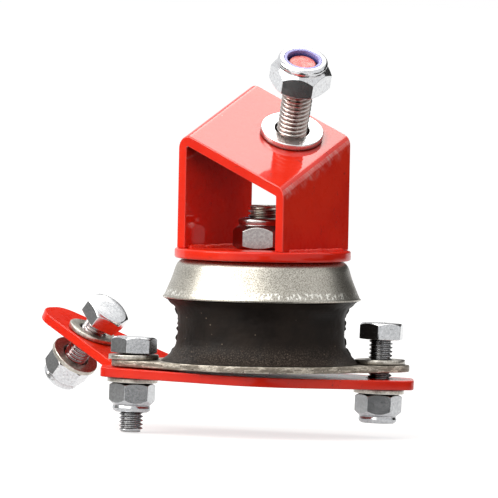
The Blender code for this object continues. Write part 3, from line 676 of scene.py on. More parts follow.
def make_thread_tree():
    tree, given = begin_tree("screw_thread", ("Radius", "Pitch", "Length", "Depth", "Tip"))
    step = arithmetic(tree, "DIVIDE", given["Pitch"], ROWS_PER_PITCH)
    rows = arithmetic(tree, "CEIL", arithmetic(tree, "DIVIDE", given["Length"], step))
    rows = plus(tree, rows, 2 * ROWS_PER_PITCH)
    grid = add_node(tree, "GeometryNodeMeshGrid", {
        "Size X": 1.0, "Size Y": 1.0, "Vertices X": THREAD_COLUMNS + 1, "Vertices Y": plus(tree, rows, 1.0),
    })
    across, along, _ = split(tree, add_node(tree, "GeometryNodeInputPosition").outputs[0])
    share = plus(tree, across, 0.5)
    row = arithmetic(tree, "ROUND", times(tree, plus(tree, along, 0.5), rows))
    climb = times(tree, minus(tree, share, 1.0), given["Pitch"])
    height = minus(tree, plus(tree, times(tree, row, step), climb), step)
    phase = arithmetic(tree, "FRACT", arithmetic(tree, "DIVIDE", row, ROWS_PER_PITCH))
    off_root = arithmetic(tree, "ABSOLUTE", minus(tree, times(tree, phase, 2.0), 1.0))
    inputs = {"Value": minus(tree, 1.0, off_root), "From Min": CREST_UNTIL, "From Max": ROOT_FROM}
    cut = add_node(tree, "ShaderNodeMapRange", inputs).outputs[0]
    reach = minus(tree, given["Radius"], times(tree, cut, given["Depth"]))
    inputs = {"Value": height, "Min": 0.0, "Max": given["Length"]}
    level = add_node(tree, "ShaderNodeClamp", inputs).outputs[0]
    narrow = plus(tree, minus(tree, given["Radius"], given["Tip"]), level)
    reach = arithmetic(tree, "MINIMUM", reach, narrow)
    over = arithmetic(tree, "GREATER_THAN", height, plus(tree, given["Length"], step))
    under = arithmetic(tree, "LESS_THAN", height, times(tree, step, -1.0))
    reach = times(tree, reach, minus(tree, 1.0, arithmetic(tree, "MAXIMUM", over, under)))
    angle = times(tree, share, 2 * math.pi)
    east = times(tree, reach, arithmetic(tree, "COSINE", angle))
    north = times(tree, reach, arithmetic(tree, "SINE", angle))
    target = add_node(tree, "ShaderNodeCombineXYZ", {0: east, 1: north, 2: level}).outputs[0]
    inputs = {"Geometry": grid.outputs["Mesh"], "Position": target}
    wrapped = add_node(tree, "GeometryNodeSetPosition", inputs).outputs[0]
    inputs = {"Geometry": wrapped, "Distance": MERGE_WITHIN}
    merged = add_node(tree, "GeometryNodeMergeByDistance", inputs).outputs[0]
    return end_tree(tree, merged, given["Finish"])


thread_tree = make_thread_tree()
print("thread tree has", len(thread_tree.nodes), "nodes")

# %% [markdown]
# A modifier runs the tree. Its sizes are set by each socket's identifier, and the
# evaluated result is read back as a plain mesh, so nothing live stays behind.

# %% Run a tree to a plain mesh
M8_PITCH, M10_PITCH = 1.25 * MM, 1.5 * MM
THREAD_DEPTH_SHARE = 0.61
TIP_SHARE = 0.7
THREAD_SHARP = math.radians(50)


def grown_mesh(tree, sizes, place):
    """The mesh that a tree makes from named sizes, carried to its place."""
    holder = put_in_scene("holder", bpy.data.meshes.new("holder"))
    modifier = holder.modifiers.new("grow", "NODES")
    modifier.node_group = tree
    for item in tree.interface.items_tree:
        if item.in_out == "INPUT" and item.name in sizes:
            modifier[item.identifier] = sizes[item.name]
    mesh = evaluated_mesh(holder)
    bpy.data.objects.remove(holder)
    mesh.transform(place)
    mesh.shade_smooth()
    return mesh


def make_thread(name, node, place, radius, pitch, length, finish):
    """A thread beside its node's head, on the same body. Its place has Z into the bolt."""
    mesh = grown_mesh(thread_tree, {
        "Radius": float(radius), "Pitch": pitch, "Length": float(length),
        "Depth": pitch * THREAD_DEPTH_SHARE, "Tip": pitch * TIP_SHARE, "Finish": finish,
    }, place)
    mesh.set_sharp_from_angle(angle=THREAD_SHARP)
    screw = put_in_scene(name, mesh)
    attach(screw, body_of_node[node])
    print(name, "is", in_mm(2 * radius), "mm wide and", in_mm(length), "mm long")


# %% [markdown]
# ## Bolts
# A hexagon head is a six-sided bar whose top corners are turned off at 30 degrees,
# which leaves the shallow arcs seen on each flat. A ring's reach follows the
# hexagon, and its height drops where the reach passes the turned circle.

# %% Head and bolt
SIXTH_TURN = math.pi / 3
FLAT_SHARE = math.cos(SIXTH_TURN / 2)
FACE_SHARE = 0.95
CHAMFER_SLOPE = math.tan(math.radians(30))
EDGE_ROUND = 0.16 * MM


def hexagon(corner, turn):
    """The reach of a hexagon's sides at each column, and of its round end face."""
    off_flat = (column_angles(turn) - turn) % SIXTH_TURN - SIXTH_TURN / 2
    return corner * FLAT_SHARE / np.cos(off_flat), corner * FLAT_SHARE * FACE_SHARE


def make_bolt(node, place, pitch, finish):
    """A bolt from its solid. Its place has Z from the tip towards the head."""
    spin, reach, height = seen_from(node, place)
    corner, turn = reach.max(), corner_angle(spin, reach)
    head = reach > 0.7 * corner
    low, high, tip = height[head].min(), height.max(), height.min()
    side, face = hexagon(corner, turn)
    drop = (side - face) * CHAMFER_SLOPE
    profile = [(face, low), (side, low + drop * 0.25), (side, high - drop), (face, high), (face * 0.5, high)]
    skin = turned(profile, turn, closed=False)
    made = finish_piece(node + "_head", skin, finish, place, rounding=EDGE_ROUND)
    start = place @ Matrix.Translation((0, 0, tip))
    make_thread(node + "_thread", node, start, reach[~head].max(), pitch, low - tip + pitch / 2, finish)
    return stands_for(made, node)


fastener_axes = {"left": plate_axis, "right": plate_axis, "ear": ear_axis}
bolt_places = {
    side + "_bolt": upright(middle(side + "_nut_washer"), axis) for side, axis in fastener_axes.items()
}
bolt_places["top_bolt"] = upright(middle("top_washer"), -slope_axis)
for node, place in bolt_places.items():
    pitch = M10_PITCH if node == "top_bolt" else M8_PITCH
    make_bolt(node, place, pitch, FASTENER_FINISHES.get(node, grey_zinc))

# %% [markdown]
# ## Locking nuts
# A locking nut is a hexagon with a collar rolled over a nylon ring. The hexagon's
# upper corners fall steeply into the collar, the collar's rim is rounded, and the
# blue ring lies just below the rim with a bevelled mouth.

# %% Nut and ring
COLLAR_SLOPE = math.tan(math.radians(46))
COLLAR_ROUND = 1.2 * MM
COLLAR_WAIST = 0.3 * MM
COLLAR_BAND = 0.8 * MM
LIP_ROUND = 0.35 * MM
BORE_CHAMFER = 0.6 * MM
RING_SINK = 0.3 * MM
RING_PROUD = 0.42 * MM
RING_INSIDE = 0.1 * MM
RING_BEVEL = 0.15 * MM
RING_DEPTH = 0.9 * MM


def nut_skin(corner, turn, height, collar_foot, collar, bore, mouth, ring_top):
    side, face = hexagon(corner, turn)
    fall = (side - face) * COLLAR_SLOPE
    floor = ring_top - RING_SINK
    return turned([
        (bore, BORE_CHAMFER), (bore + BORE_CHAMFER, 0), (face, 0),
        (side, (side - face) * CHAMFER_SLOPE), (side, collar_foot - fall),
        (collar, collar_foot), (collar - COLLAR_WAIST, collar_foot + COLLAR_WAIST),
        *arc(collar - COLLAR_ROUND, height - COLLAR_ROUND, COLLAR_ROUND, 0, 90),
        *arc(mouth + LIP_ROUND, height - LIP_ROUND, LIP_ROUND, 90, 180, 4),
        (mouth, floor), (bore, floor),
    ], turn)


def make_ring(node, place, reach, height):
    """The nylon ring, with a bevelled mouth that the thread is forced into."""
    inner, outer = reach.min() - RING_INSIDE, reach.max()
    low, high = height.min(), height.max() + RING_PROUD
    skin = turned([
        (inner, low), (outer, low), (outer, high), (inner + RING_BEVEL, high),
        (inner, high - RING_BEVEL), (inner, high - RING_DEPTH),
    ])
    return stands_for(finish_piece(node + "_nylon", skin, blue_nylon, place), node)


def make_nut(node, place, finish):
    """A locking nut from its solids. Its place has Z from the seat towards the collar."""
    spin, reach, height = seen_from(node, place)
    low, high = height.min(), height.max()
    _, ring_reach, ring_height = seen_from(node + "_ring", place)
    collar = reach[height > high - COLLAR_BAND].max()
    foot = height[(reach < collar + 0.02 * MM) & (height < high - 1 * MM)].max()
    skin = nut_skin(
        reach.max(), corner_angle(spin, reach), high - low, foot - low, collar,
        ring_reach.min(), ring_reach.max(), ring_height.max() - low,
    )
    print(node, "is", in_mm(high - low), "mm high, its collar from", in_mm(foot - low), "mm")
    seat = place @ Matrix.Translation((0, 0, low))
    stands_for(finish_piece(node + "_body", skin, finish, seat, rounding=EDGE_ROUND), node)
    return make_ring(node + "_ring", place, ring_reach, ring_height)


nut_places = {
    side + "_nut": upright(middle(side + "_nut_washer"), -axis) for side, axis in fastener_axes.items()
}
nut_places["top_nut"] = upright(middle("top_washer"), slope_axis)
nut_places["stud_nut"] = AT_ORIGIN
for node, place in nut_places.items():
    make_nut(node, place, FASTENER_FINISHES.get(node, grey_zinc))

# %% [markdown]
# ## Washers
# A pressed washer has one rounded rim, from the punch, and one crisper rim. Its
# section is swept round its own axis, which is the same as its solid's.

# %% Washers
PUNCHED_ROUND = 0.35 * MM
SHEARED_ROUND = 0.12 * MM


def make_washer(node, place, finish):
    _, reach, height = seen_from(node, place)
    inner, outer, low, high = reach.min(), reach.max(), height.min(), height.max()
    outline = arc(outer - PUNCHED_ROUND, high - PUNCHED_ROUND, PUNCHED_ROUND, 0, 90)
    outline += arc(inner + PUNCHED_ROUND, high - PUNCHED_ROUND, PUNCHED_ROUND, 90, 180)
    outline += arc(inner + SHEARED_ROUND, low + SHEARED_ROUND, SHEARED_ROUND, 180, 270, 3)
    outline += arc(outer - SHEARED_ROUND, low + SHEARED_ROUND, SHEARED_ROUND, 270, 360, 3)
    return stands_for(finish_piece(node + "_disc", turned(outline), finish, place), node)


make_washer("top_washer", upright(middle("top_washer"), slope_axis), washer_zinc)
lower_washers = [f"{side}_{end}_washer" for side in fastener_axes for end in ("head", "nut")]
for node in lower_washers:
    make_washer(node, upright(middle(node), thin_axis(node)), dull_zinc)
print("washers made:", 1 + len(lower_washers))

# %% [markdown]
# ## Sheet metal
# The bracket and the plate are folded sheet. Their solids already have the right
# outline, bends and holes, but they are loose triangles. A copy is merged, and its
# normals are weighted by face area, so flats stay flat and bends shade as curves.

# %% Merged copies of the folded sheets
SHEET_ROUND = 0.3 * MM
SHEET_ROUNDED_FROM = 50
FLAT_WITHIN = math.radians(0.2)


def merged_copy(node, name, finish):
    skin = bmesh.new()
    skin.from_mesh(frame["nodes"][node].data)
    bmesh.ops.remove_doubles(skin, verts=skin.verts, dist=MERGE_WITHIN)
    bmesh.ops.dissolve_limit(skin, angle_limit=FLAT_WITHIN, verts=skin.verts, edges=skin.edges)
    made = finish_piece(name, skin, finish, sharp=40)
    round_edges(made, SHEET_ROUND, SHEET_ROUNDED_FROM).harden_normals = True
    made.modifiers.new("even_flats", "WEIGHTED_NORMAL").keep_sharp = True
    made.data = evaluated_mesh(made)
    made.modifiers.clear()
    print(name, "has", len(made.data.polygons), "faces")
    return stands_for(made, node)


merged_copy("bracket_channel", "folded_bracket", bracket_enamel)
merged_copy("lower_plate", "folded_plate", plate_enamel)

# %% [markdown]
# ## Disc and cup
# The disc is a round blank with edges softened by paint. The cup is pressed from
# sheet: its solid gives a few points of the outer line, and a smooth curve through
# them gives a line fine enough for a bright, unbroken highlight.

# %% Disc
DISC_SEAT = 0.18 * MM
DISC_ROUND = 0.7 * MM


def make_disc(node):
    _, reach, height = seen_from(node)
    inner, outer, low, high = reach.min(), reach.max(), height.min(), height.max() + DISC_SEAT
    rim = outer - DISC_ROUND
    outline = arc(rim, high - DISC_ROUND, DISC_ROUND, 90, 0) + arc(rim, low + DISC_ROUND, DISC_ROUND, 0, -90)
    skin = turned([*outline, (inner, low), (inner, high)])
    return stands_for(finish_piece("painted_disc", skin, plate_enamel), node)


make_disc("bracket_disc")

# %% Cup
CUP_SHEET = 2.0 * MM
CUP_LIP = 0.6 * MM
FULL_RING = 30


def smooth_line(points, steps=6):
    """A smooth curve through all of a profile's points."""
    points = np.array(points)
    padded = np.vstack([2 * points[0] - points[1], points, 2 * points[-1] - points[-2]])
    share = np.linspace(0, 1, steps, endpoint=False)[:, None]
    made = []
    for before, start, end, after in zip(padded, padded[1:], padded[2:], padded[3:]):
        made.append(0.5 * (
            2 * start + (end - before) * share + (2 * before - 5 * start + 4 * end - after) * share ** 2
            + (3 * start - before - 3 * end + after) * share ** 3
        ))
    return np.vstack([*made, points[-1:]])


def side_levels(node):
    """Each height of a turned solid with its furthest reach, from the top down."""
    _, reach, height = seen_from(node)
    levels = np.round(height / MM, 2)
    found = []
    for level in sorted(set(levels), reverse=True):
        here = reach[levels == level]
        if len(here) >= FULL_RING:
            found.append((here.max(), level * MM))
    return found


def inset(line, depth):
    """The line moved to its inner side by a depth."""
    run = np.gradient(line, axis=0)
    run /= np.linalg.norm(run, axis=1)[:, None]
    return line + np.stack([run[:, 1], -run[:, 0]], axis=1) * depth


def make_cup():
    outline = []
    for reach, height in side_levels("mount_cup"):
        if not outline or reach > outline[-1][0] + 0.01 * MM:
            outline.append((reach, height))
    outer = smooth_line(outline)
    inner = inset(outer, CUP_SHEET)
    inner[:, 1] = np.maximum(inner[:, 1], outer[-1, 1] + 0.2 * MM)
    hole = seen_from("mount_cup")[1].min()
    rim = outer[-1]
    skin = turned([
        (hole, outer[0, 1]), (outer[0, 0] * 0.8, outer[0, 1]), *outer[:-1],
        *arc(rim[0] - CUP_LIP, rim[1] + CUP_LIP, CUP_LIP, 0, -90), (inner[-1, 0] + 0.2 * MM, rim[1]),
        *inner[::-1], (hole, inner[0, 1]),
    ])
    return stands_for(finish_piece("pressed_cup", skin, cup_steel, sharp=50), "mount_cup")


make_cup()

# %% [markdown]
# ## Rubber
# The moulded block has a waist and flares on to the foot, with a bite taken out
# beside each washer. Rows of points follow the solid's side line, and smooth noise
# moves each point a little, as on rubber that has been handled. A thin fin stands
# where the halves of the mould met, torn into teeth.

# %% Uneven side and torn fin
RUBBER_COLUMNS = 300
RUBBER_UNEVEN = 0.14 * MM
COARSE_SWELL, FINE_SWELL, FINE_SHARE = 5 * MM, 1.3 * MM, 0.55
FLASH_REACH = 1.0 * MM
FLASH_TOOTH = 1.1 * MM
FLASH_FOOT, FLASH_TOP = 4.2 * MM, 21.6 * MM
RECESS_CLEARANCE = 0.4 * MM


def recess_reach(angles, node):
    """How far the rubber may reach at each angle beside a washer."""
    centre = middle(node)
    away = math.hypot(centre.x, centre.y)
    radius = seen_from(node, Matrix.Translation(centre))[1].max() + RECESS_CLEARANCE
    off = angles - math.atan2(centre.y, centre.x)
    across = away * np.sin(off)
    limit = away * np.cos(off) - np.sqrt(np.maximum(radius ** 2 - across ** 2, 0))
    return np.where((np.abs(across) < radius) & (np.cos(off) > 0), limit, 1.0)


def outwards(point):
    return Vector((point.x, point.y, 0)).normalized()


def uneven(points):
    """Push points in and out by smooth noise, coarse and fine."""
    pushed = []
    for point in points:
        where = Vector(point)
        swell = noise.noise(where / COARSE_SWELL) + FINE_SHARE * noise.noise(where / FINE_SWELL)
        pushed.append(where + outwards(where) * swell * RUBBER_UNEVEN)
    return pushed


def kept_to_one(value):
    return min(max(value, 0.0), 1.0)


def torn_flash(points):
    """Raise a thin torn fin in line with the foot, one column wide."""
    washer = middle("right_head_washer")
    line = math.atan2(washer.y, washer.x)
    column = 2 * math.pi / RUBBER_COLUMNS
    torn = []
    for point in points:
        off = math.atan2(point.y, point.x) - line
        share = max(0.0, 1.0 - abs(math.sin(off)) / column)
        tooth = noise.noise(Vector((round(math.cos(off)) * 7.0, 0.5, point.z / FLASH_TOOTH)))
        share *= kept_to_one(0.5 + 2.4 * tooth)
        share *= kept_to_one((point.z - FLASH_FOOT) / MM)
        share *= kept_to_one((FLASH_TOP - point.z) / MM)
        torn.append(point + outwards(point) * share * FLASH_REACH)
    return torn


print("the fin runs from", in_mm(FLASH_FOOT), "to", in_mm(FLASH_TOP), "mm")

# %% Rubber block


def make_rubber():
    levels = side_levels("rubber_block")
    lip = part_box("mount_cup")[0].z
    side = smooth_line([level for level in levels if level[1] < lip][::-1], steps=8)
    filling = [level for level in levels if level[1] > lip]
    angles = column_angles(columns=RUBBER_COLUMNS)
    limit = np.minimum(*(recess_reach(angles, end + "_head_washer") for end in ("left", "right")))
    rings = [torn_flash(uneven(ring(np.minimum(reach, limit), level, angles))) for reach, level in side]
    stud_low, stud_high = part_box("centre_stud")
    pocket = stud_high.x + 0.3 * MM
    inside = [(side[-1, 0] - 1.6 * MM, side[-1, 1]), *filling[::-1]]
    inside += [(pocket, filling[0][1]), (pocket, stud_low.z - 0.2 * MM)]
    rings += [ring(reach, level, angles) for reach, level in inside]
    block = finish_piece("moulded_rubber", loft(rings), rubber_finish, sharp=60)
    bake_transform(block)
    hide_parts("rubber_block")
    print("rubber has", len(block.data.polygons), "faces")


make_rubber()

# %% [markdown]
# ## Oval foot
# The foot is cut from plate, so its outline is four arcs that meet on tangents. A
# flat curve filled between its outline and its slots makes the plate, and the
# curve's own bevel rounds the sheared edge.

# %% Outline of the foot
FOOT_END_RADIUS = 9.5 * MM
FOOT_EDGE_ROUND = 0.35 * MM
SLOT_HALF_WIDTH = 4.5 * MM
SLOT_TRAVEL = 2.0 * MM
SLOT_OUTWARDS = 1.3 * MM


def sweep(x, radius, start, stop, steps):
    turns = np.linspace(start, stop, steps)
    return [(x + radius * math.cos(turn), radius * math.sin(turn)) for turn in turns]


def foot_outlines(centre, radius):
    """The oval drawn smaller, and its slots wider, by the edge that the bevel adds."""
    end, side = FOOT_END_RADIUS - FOOT_EDGE_ROUND, radius - FOOT_EDGE_ROUND
    slot = SLOT_HALF_WIDTH + FOOT_EDGE_ROUND
    lean = math.acos((radius - FOOT_END_RADIUS) / centre)
    outline = sweep(centre, end, -lean, lean, 24) + sweep(0, side, lean, math.pi - lean, 48)
    outline += sweep(-centre, end, math.pi - lean, math.pi + lean, 24)
    outline += sweep(0, side, math.pi + lean, 2 * math.pi - lean, 48)
    outlines = [outline]
    quarter = math.pi / 2
    for at in (-centre - SLOT_OUTWARDS, centre + SLOT_OUTWARDS):
        rounded = sweep(at + SLOT_TRAVEL, slot, -quarter, quarter, 16)
        outlines.append(rounded + sweep(at - SLOT_TRAVEL, slot, quarter, 3 * quarter, 16))
    return outlines


print("a slot is", in_mm(2 * SLOT_HALF_WIDTH), "mm wide")

# %% Foot


def make_foot():
    left, right = middle("left_head_washer"), middle("right_head_washer")
    turn = math.atan2(right.y - left.y, right.x - left.x)
    place = Matrix.Rotation(turn, 4, "Z")
    spin, reach, height = seen_from("base_flange", place)
    half_length, half_width = (reach * np.cos(spin)).max(), (reach * np.sin(spin)).max()
    curve = bpy.data.curves.new("oval_foot", "CURVE")
    curve.dimensions = "2D"
    curve.fill_mode = "BOTH"
    curve.extrude = (height.max() - height.min()) / 2 - FOOT_EDGE_ROUND
    curve.bevel_depth = FOOT_EDGE_ROUND
    curve.bevel_resolution = 2
    for points in foot_outlines(half_length - FOOT_END_RADIUS, half_width):
        spline = curve.splines.new("POLY")
        spline.points.add(len(points) - 1)
        for point, (u, v) in zip(spline.points, points):
            point.co = (u, v, 0, 1)
        spline.use_cyclic_u = True
    holder = put_in_scene("foot_curve", curve)
    skin = bmesh.new()
    skin.from_mesh(evaluated_mesh(holder))
    bpy.data.objects.remove(holder)
    bmesh.ops.remove_doubles(skin, verts=skin.verts, dist=0.01 * MM)
    bmesh.ops.recalc_face_normals(skin, faces=skin.faces)
    lift = Matrix.Translation((0, 0, (height.max() + height.min()) / 2))
    stands_for(finish_piece("oval_foot", skin, foot_steel, place @ lift, sharp=40), "base_flange")
    print("foot turned by", round(math.degrees(turn), 2), "degrees")


make_foot()

# %% [markdown]
# ## Stud
# The stud comes up through the cup and the disc. Its thread shows above the nut,
# and its round head stays hidden under the cup's roof.

# %% Stud
_, reach, height = seen_from("centre_stud")
head_top = height[reach > reach.max() - 0.1 * MM].max()
shank = reach[height > head_top + 1 * MM].max()
stud_top = Matrix.Translation((0, 0, height.max())) @ Matrix.Rotation(math.pi, 4, "X")
make_thread("stud_thread", "centre_stud", stud_top, shank, M10_PITCH, height.max() - head_top, dull_zinc)
stud_head = turned([(reach.max(), height.min()), (reach.max(), head_top)], closed=False)
stands_for(finish_piece("stud_head", stud_head, dull_zinc, rounding=EDGE_ROUND), "centre_stud")

# %% [markdown]
# ## Welds
# A weld bead is a row of small overlapping pools. A tree sets flattened balls along
# a line, each turned and sized a little differently from a fixed seed. They are
# sunk in the corner between wall and disc, so only the rippled bead shows.

# %% The weld's node tree
POOL_SIZES = ((0.85, 0.55, 0.8), (1.15, 0.8, 1.12))
POOL_TURNS = ((-0.3, -0.3, -0.3), (0.3, 0.3, 0.3))


def make_bead_tree():
    tree, given = begin_tree("weld_bead", ("Length", "Radius", "Step"), counts=("Seed",))
    steps = arithmetic(tree, "FLOOR", arithmetic(tree, "DIVIDE", given["Length"], given["Step"]))
    stride = add_node(tree, "ShaderNodeCombineXYZ", {1: given["Step"]}).outputs[0]
    inputs = {"Count": plus(tree, steps, 1.0), "Offset": stride}
    line = add_node(tree, "GeometryNodeMeshLine", inputs, mode="OFFSET").outputs[0]
    ball = add_node(tree, "GeometryNodeMeshIcoSphere", {"Radius": given["Radius"], "Subdivisions": 3})
    drawn = []
    for low, high in (POOL_SIZES, POOL_TURNS):
        inputs = {0: low, 1: high, "Seed": given["Seed"]}
        drawn.append(add_node(tree, "FunctionNodeRandomValue", inputs, data_type="FLOAT_VECTOR").outputs[0])
    inputs = {"Points": line, "Instance": ball.outputs["Mesh"], "Scale": drawn[0], "Rotation": drawn[1]}
    pools = add_node(tree, "GeometryNodeInstanceOnPoints", inputs).outputs[0]
    return end_tree(tree, pools, given["Finish"])


bead_tree = make_bead_tree()
print("weld tree has", len(bead_tree.nodes), "nodes")

# %% Inner and outer weld
BEAD_RADIUS = 1.25 * MM
BEAD_STEP = 0.9 * MM


def make_weld(node, seed, height):
    """A bead in the corner at a weld's side towards -X."""
    low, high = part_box(node)
    flat = Matrix.Diagonal((height, 1, height, 1))
    mesh = grown_mesh(bead_tree, {
        "Length": high.y - low.y - 2 * BEAD_RADIUS, "Radius": BEAD_RADIUS, "Step": BEAD_STEP,
        "Seed": seed, "Finish": plate_enamel,
    }, Matrix.Translation((low.x, low.y + BEAD_RADIUS, low.z)) @ flat)
    return stands_for(put_in_scene(node + "_bead", mesh), node)


make_weld("inner_weld", 3, 0.9)
make_weld("outer_weld", 8, 0.7)
print("weld pools are", in_mm(BEAD_STEP), "mm apart")

# %% [markdown]
# ## Painted bolt end
# The end of the top bolt was dabbed with red paint, a common mark for a checked
# fastener. A slightly domed disc sits on the bolt's end, inside the nylon ring.

# %% Paint on the bolt's end
DAB_RED = (0.62, 0.10, 0.085, 1)
DAB_PALE = (0.90, 0.30, 0.26, 1)


def make_mark_finish():
    material, tree, shader, place = new_finish("marking_paint")
    cloud = patchy(tree, place, 500.0, 0.35, 0.7, detail=4.0)
    set_inputs(shader, {
        "Base Color": blend_colours(tree, cloud, DAB_RED, DAB_PALE), "Roughness": 0.42,
        "Normal": bump(tree, grain(tree, place, 900.0), 0.1 * MM, 0.6),
    })
    return material


def make_mark():
    place = bolt_places["top_bolt"]
    _, reach, height = seen_from("top_bolt", place)
    tip = height.min()
    edge = reach[height < tip + 0.01 * MM].max()
    dome = [(edge + 0.3 * MM, 0.25), (edge + 0.1 * MM, -0.1), (edge * 0.6, -0.22), (edge * 0.2, -0.25)]
    skin = turned([(out, tip + rise * MM) for out, rise in dome], closed=False)
    mark = finish_piece("painted_end", skin, make_mark_finish(), place)
    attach(mark, body_of_node["top_bolt"])
    print("painted end is", in_mm(2 * edge), "mm wide")


make_mark()

# %% [markdown]
# ## Camera
# The photograph was taken from far off with a long lens, two degrees above level
# and turned 33.5 degrees towards the low wall, and it leans a little. Its scale
# fixes the width of the view, and the origin's place in it fixes the aim.

# %% Camera
PHOTO_SIDE = 498
PIXELS_PER_MM = 3.15
CAMERA_TURN = math.radians(33.5)
CAMERA_LIFT = math.radians(2.0)
CAMERA_ROLL = math.radians(1.15)
CAMERA_DISTANCE = 2.5
ORIGIN_PIXEL = (260.4, 368.7)

east = Vector((math.cos(CAMERA_TURN), math.sin(CAMERA_TURN), 0))
into = Vector((
    -math.sin(CAMERA_TURN) * math.cos(CAMERA_LIFT), math.cos(CAMERA_TURN) * math.cos(CAMERA_LIFT),
    -math.sin(CAMERA_LIFT),
))
lean = Matrix.Rotation(CAMERA_ROLL, 3, -into)
right = lean @ east
up = lean @ east.cross(into)
half = PHOTO_SIDE / 2
aim = right * (half - ORIGIN_PIXEL[0]) + up * (ORIGIN_PIXEL[1] - half)
target = aim * MM / PIXELS_PER_MM
view_width = PHOTO_SIDE / PIXELS_PER_MM * MM
lens = bpy.data.cameras.new("long_lens")
lens.lens = lens.sensor_width * CAMERA_DISTANCE / view_width
camera = put_in_scene("camera", lens)
turned_to = Matrix((right, up, -into)).transposed().to_4x4()
camera.matrix_world = Matrix.Translation(target - into * CAMERA_DISTANCE) @ turned_to
bpy.context.scene.camera = camera
print("lens in mm:", round(lens.lens, 1), "view width in mm:", in_mm(view_width))

# %% [markdown]
# ## Light, floor and background
# The photograph is bright all round, so metals mirror white. One softbox above and
# behind gives the pale sheen on the slope. Three more, in front, at the front left
# and above, light the walls and the sheets' edges. A small one at the right fills
# the shade there, and metal doesn't mirror it. Black and grey cards stand round the
# mount. They show in reflections only, and give metal and paint their dark sides.

# %% Lamps
WARM_LAMP = (1.0, 0.985, 0.945)
LAMP_DISTANCE = 0.9
# Each lamp's direction from the mount, its width and height, and its radiance.
SOFTBOXES = {
    "overhead_softbox": ((-0.154, 0.451, 0.878), 0.55, 0.55, 4.0),
    "front_softbox": ((-0.17, -0.82, 0.57), 1.25, 0.55, 2.0),
    "left_softbox": ((-0.50, -0.66, 0.55), 0.5, 0.5, 5.0),
    "top_softbox": ((0.05, -0.45, 0.89), 0.5, 0.5, 3.4),
    "right_fill": ((0.75, 0.1, 0.66), 0.4, 0.4, 2.2),
}


def make_softbox(name, direction, width, height, radiance):
    """A lamp that faces the mount. Radiance 1 shows as white in a mirror."""
    light = bpy.data.lights.new(name, "AREA")
    light.shape = "RECTANGLE"
    light.size = width
    light.size_y = height
    light.energy = radiance * math.pi * width * height
    light.color = WARM_LAMP
    lamp = put_in_scene(name, light)
    away = Vector(direction).normalized()
    facing = away.to_track_quat("Z", "Y").to_matrix().to_4x4()
    lamp.matrix_world = Matrix.Translation(target + away * LAMP_DISTANCE) @ facing
    return lamp


lamps = {name: make_softbox(name, *sizes) for name, sizes in SOFTBOXES.items()}
lamps["right_fill"].visible_glossy = False
print("lamps:", sorted(lamps))

# %% World
AMBIENT = 0.22


def seen_by_eye(tree):
    """1 for rays from the camera, a mirror or glass, and 0 for light that falls on things."""
    rays = add_node(tree, "ShaderNodeLightPath").outputs
    seen = rays["Is Camera Ray"]
    for kind in ("Is Glossy Ray", "Is Transmission Ray"):
        seen = arithmetic(tree, "MAXIMUM", seen, rays[kind])
    return seen


world = bpy.data.worlds.new("studio")
bpy.context.scene.world = world
world.use_nodes = True
tree = world.node_tree
inputs = {"Value": seen_by_eye(tree), "To Min": AMBIENT, "To Max": 1.0}
level = add_node(tree, "ShaderNodeMapRange", inputs).outputs[0]
set_inputs(tree.nodes["Background"], {"Color": (1, 1, 1, 1), "Strength": level})
bpy.context.scene.view_settings.view_transform = "Standard"
print("ambient level:", AMBIENT)

# %% Floor
FLOOR_SIDE = 60.0
FLOOR_GREY = (0.38, 0.38, 0.38, 1)
FLOOR_GLOW = (0.74, 0.95)
FLOOR_GLOW_REACH = (0.25, 0.8)
PAPER_ROUGH = 0.9


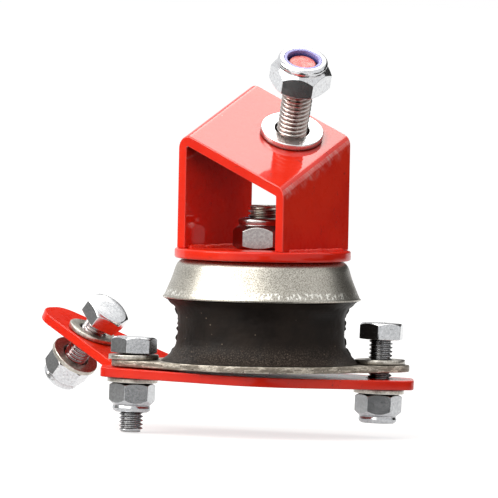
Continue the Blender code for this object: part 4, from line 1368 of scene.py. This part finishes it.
def make_floor_paper():
    """White paper that glows a little for the camera, so it stays white far away."""
    material, tree, shader, place = new_finish("floor_paper")
    away = add_node(tree, "ShaderNodeVectorMath", {0: place}, operation="LENGTH").outputs["Value"]
    glow = between(tree, away, *FLOOR_GLOW_REACH, *FLOOR_GLOW)
    set_inputs(shader, {
        "Base Color": FLOOR_GREY, "Roughness": PAPER_ROUGH, "Specular IOR Level": 0.0,
        "Emission Color": (1, 1, 1, 1), "Emission Strength": times(tree, seen_by_eye(tree), glow),
    })
    return material


def stage_sheet(name, corners, faces, finish):
    mesh = bpy.data.meshes.new(name)
    mesh.from_pydata(corners, [], faces)
    mesh.materials.append(finish)
    made = put_in_scene(name, mesh)
    return made


floor_level = cad_box[0][2] - 0.3 * MM
half = FLOOR_SIDE / 2
corners = [(x, y, floor_level) for x, y in ((-half, -half), (half, -half), (half, half), (-half, half))]
stage_sheet("floor", corners, [(0, 1, 2, 3)], make_floor_paper())
print("floor at", in_mm(floor_level), "mm")

# %% Cards for reflections


def make_card_finish(name, level):
    material, _, shader, _ = new_finish(name)
    set_inputs(shader, {"Base Color": (level, level, level, 1), "Roughness": PAPER_ROUGH})
    return material


card_black = make_card_finish("card_black", 0.02)
card_grey = make_card_finish("card_grey", 0.38)


def stand_card(name, turn, near, far, halves, height, finish, lift=0.0, aside=0.0):
    """A card that lies on the floor from near to far and stands up there, seen in reflections only."""
    toward = Matrix.Rotation(math.radians(turn), 3, "Z") @ Vector((-into.x, -into.y, 0)).normalized()
    across = Vector((-toward.y, toward.x, 0))
    rise = UP * (floor_level + 0.2 * MM + lift)
    ends = ((near, halves[0]), (near, -halves[0]), (far, -halves[1]), (far, halves[1]))
    corners = [rise + toward * reach + across * (aside + half) for reach, half in ends]
    corners += [corner + UP * height for corner in corners[2:]]
    card = stage_sheet(name, corners, [(0, 1, 2, 3), (3, 2, 4, 5)], finish)
    card.visible_camera = card.visible_diffuse = card.visible_shadow = False
    print(name, "stands", far, "m off")


stand_card("front_card", 0, 0.045, 0.60, (0.055, 0.07), 0.08, card_black, aside=0.025)
stand_card("left_card", -90, 0.10, 0.50, (0.06, 0.30), 0.20, card_grey)
stand_card("side_card", 80, 0.20, 0.57, (0.10, 0.29), 0.02, card_black)
stand_card("right_card", 112, 0.58, 0.60, (0.30, 0.30), 0.12, card_black)
stand_card("back_card", 142, 0.69, 0.70, (0.52, 0.52), 0.50, card_black, lift=0.12)
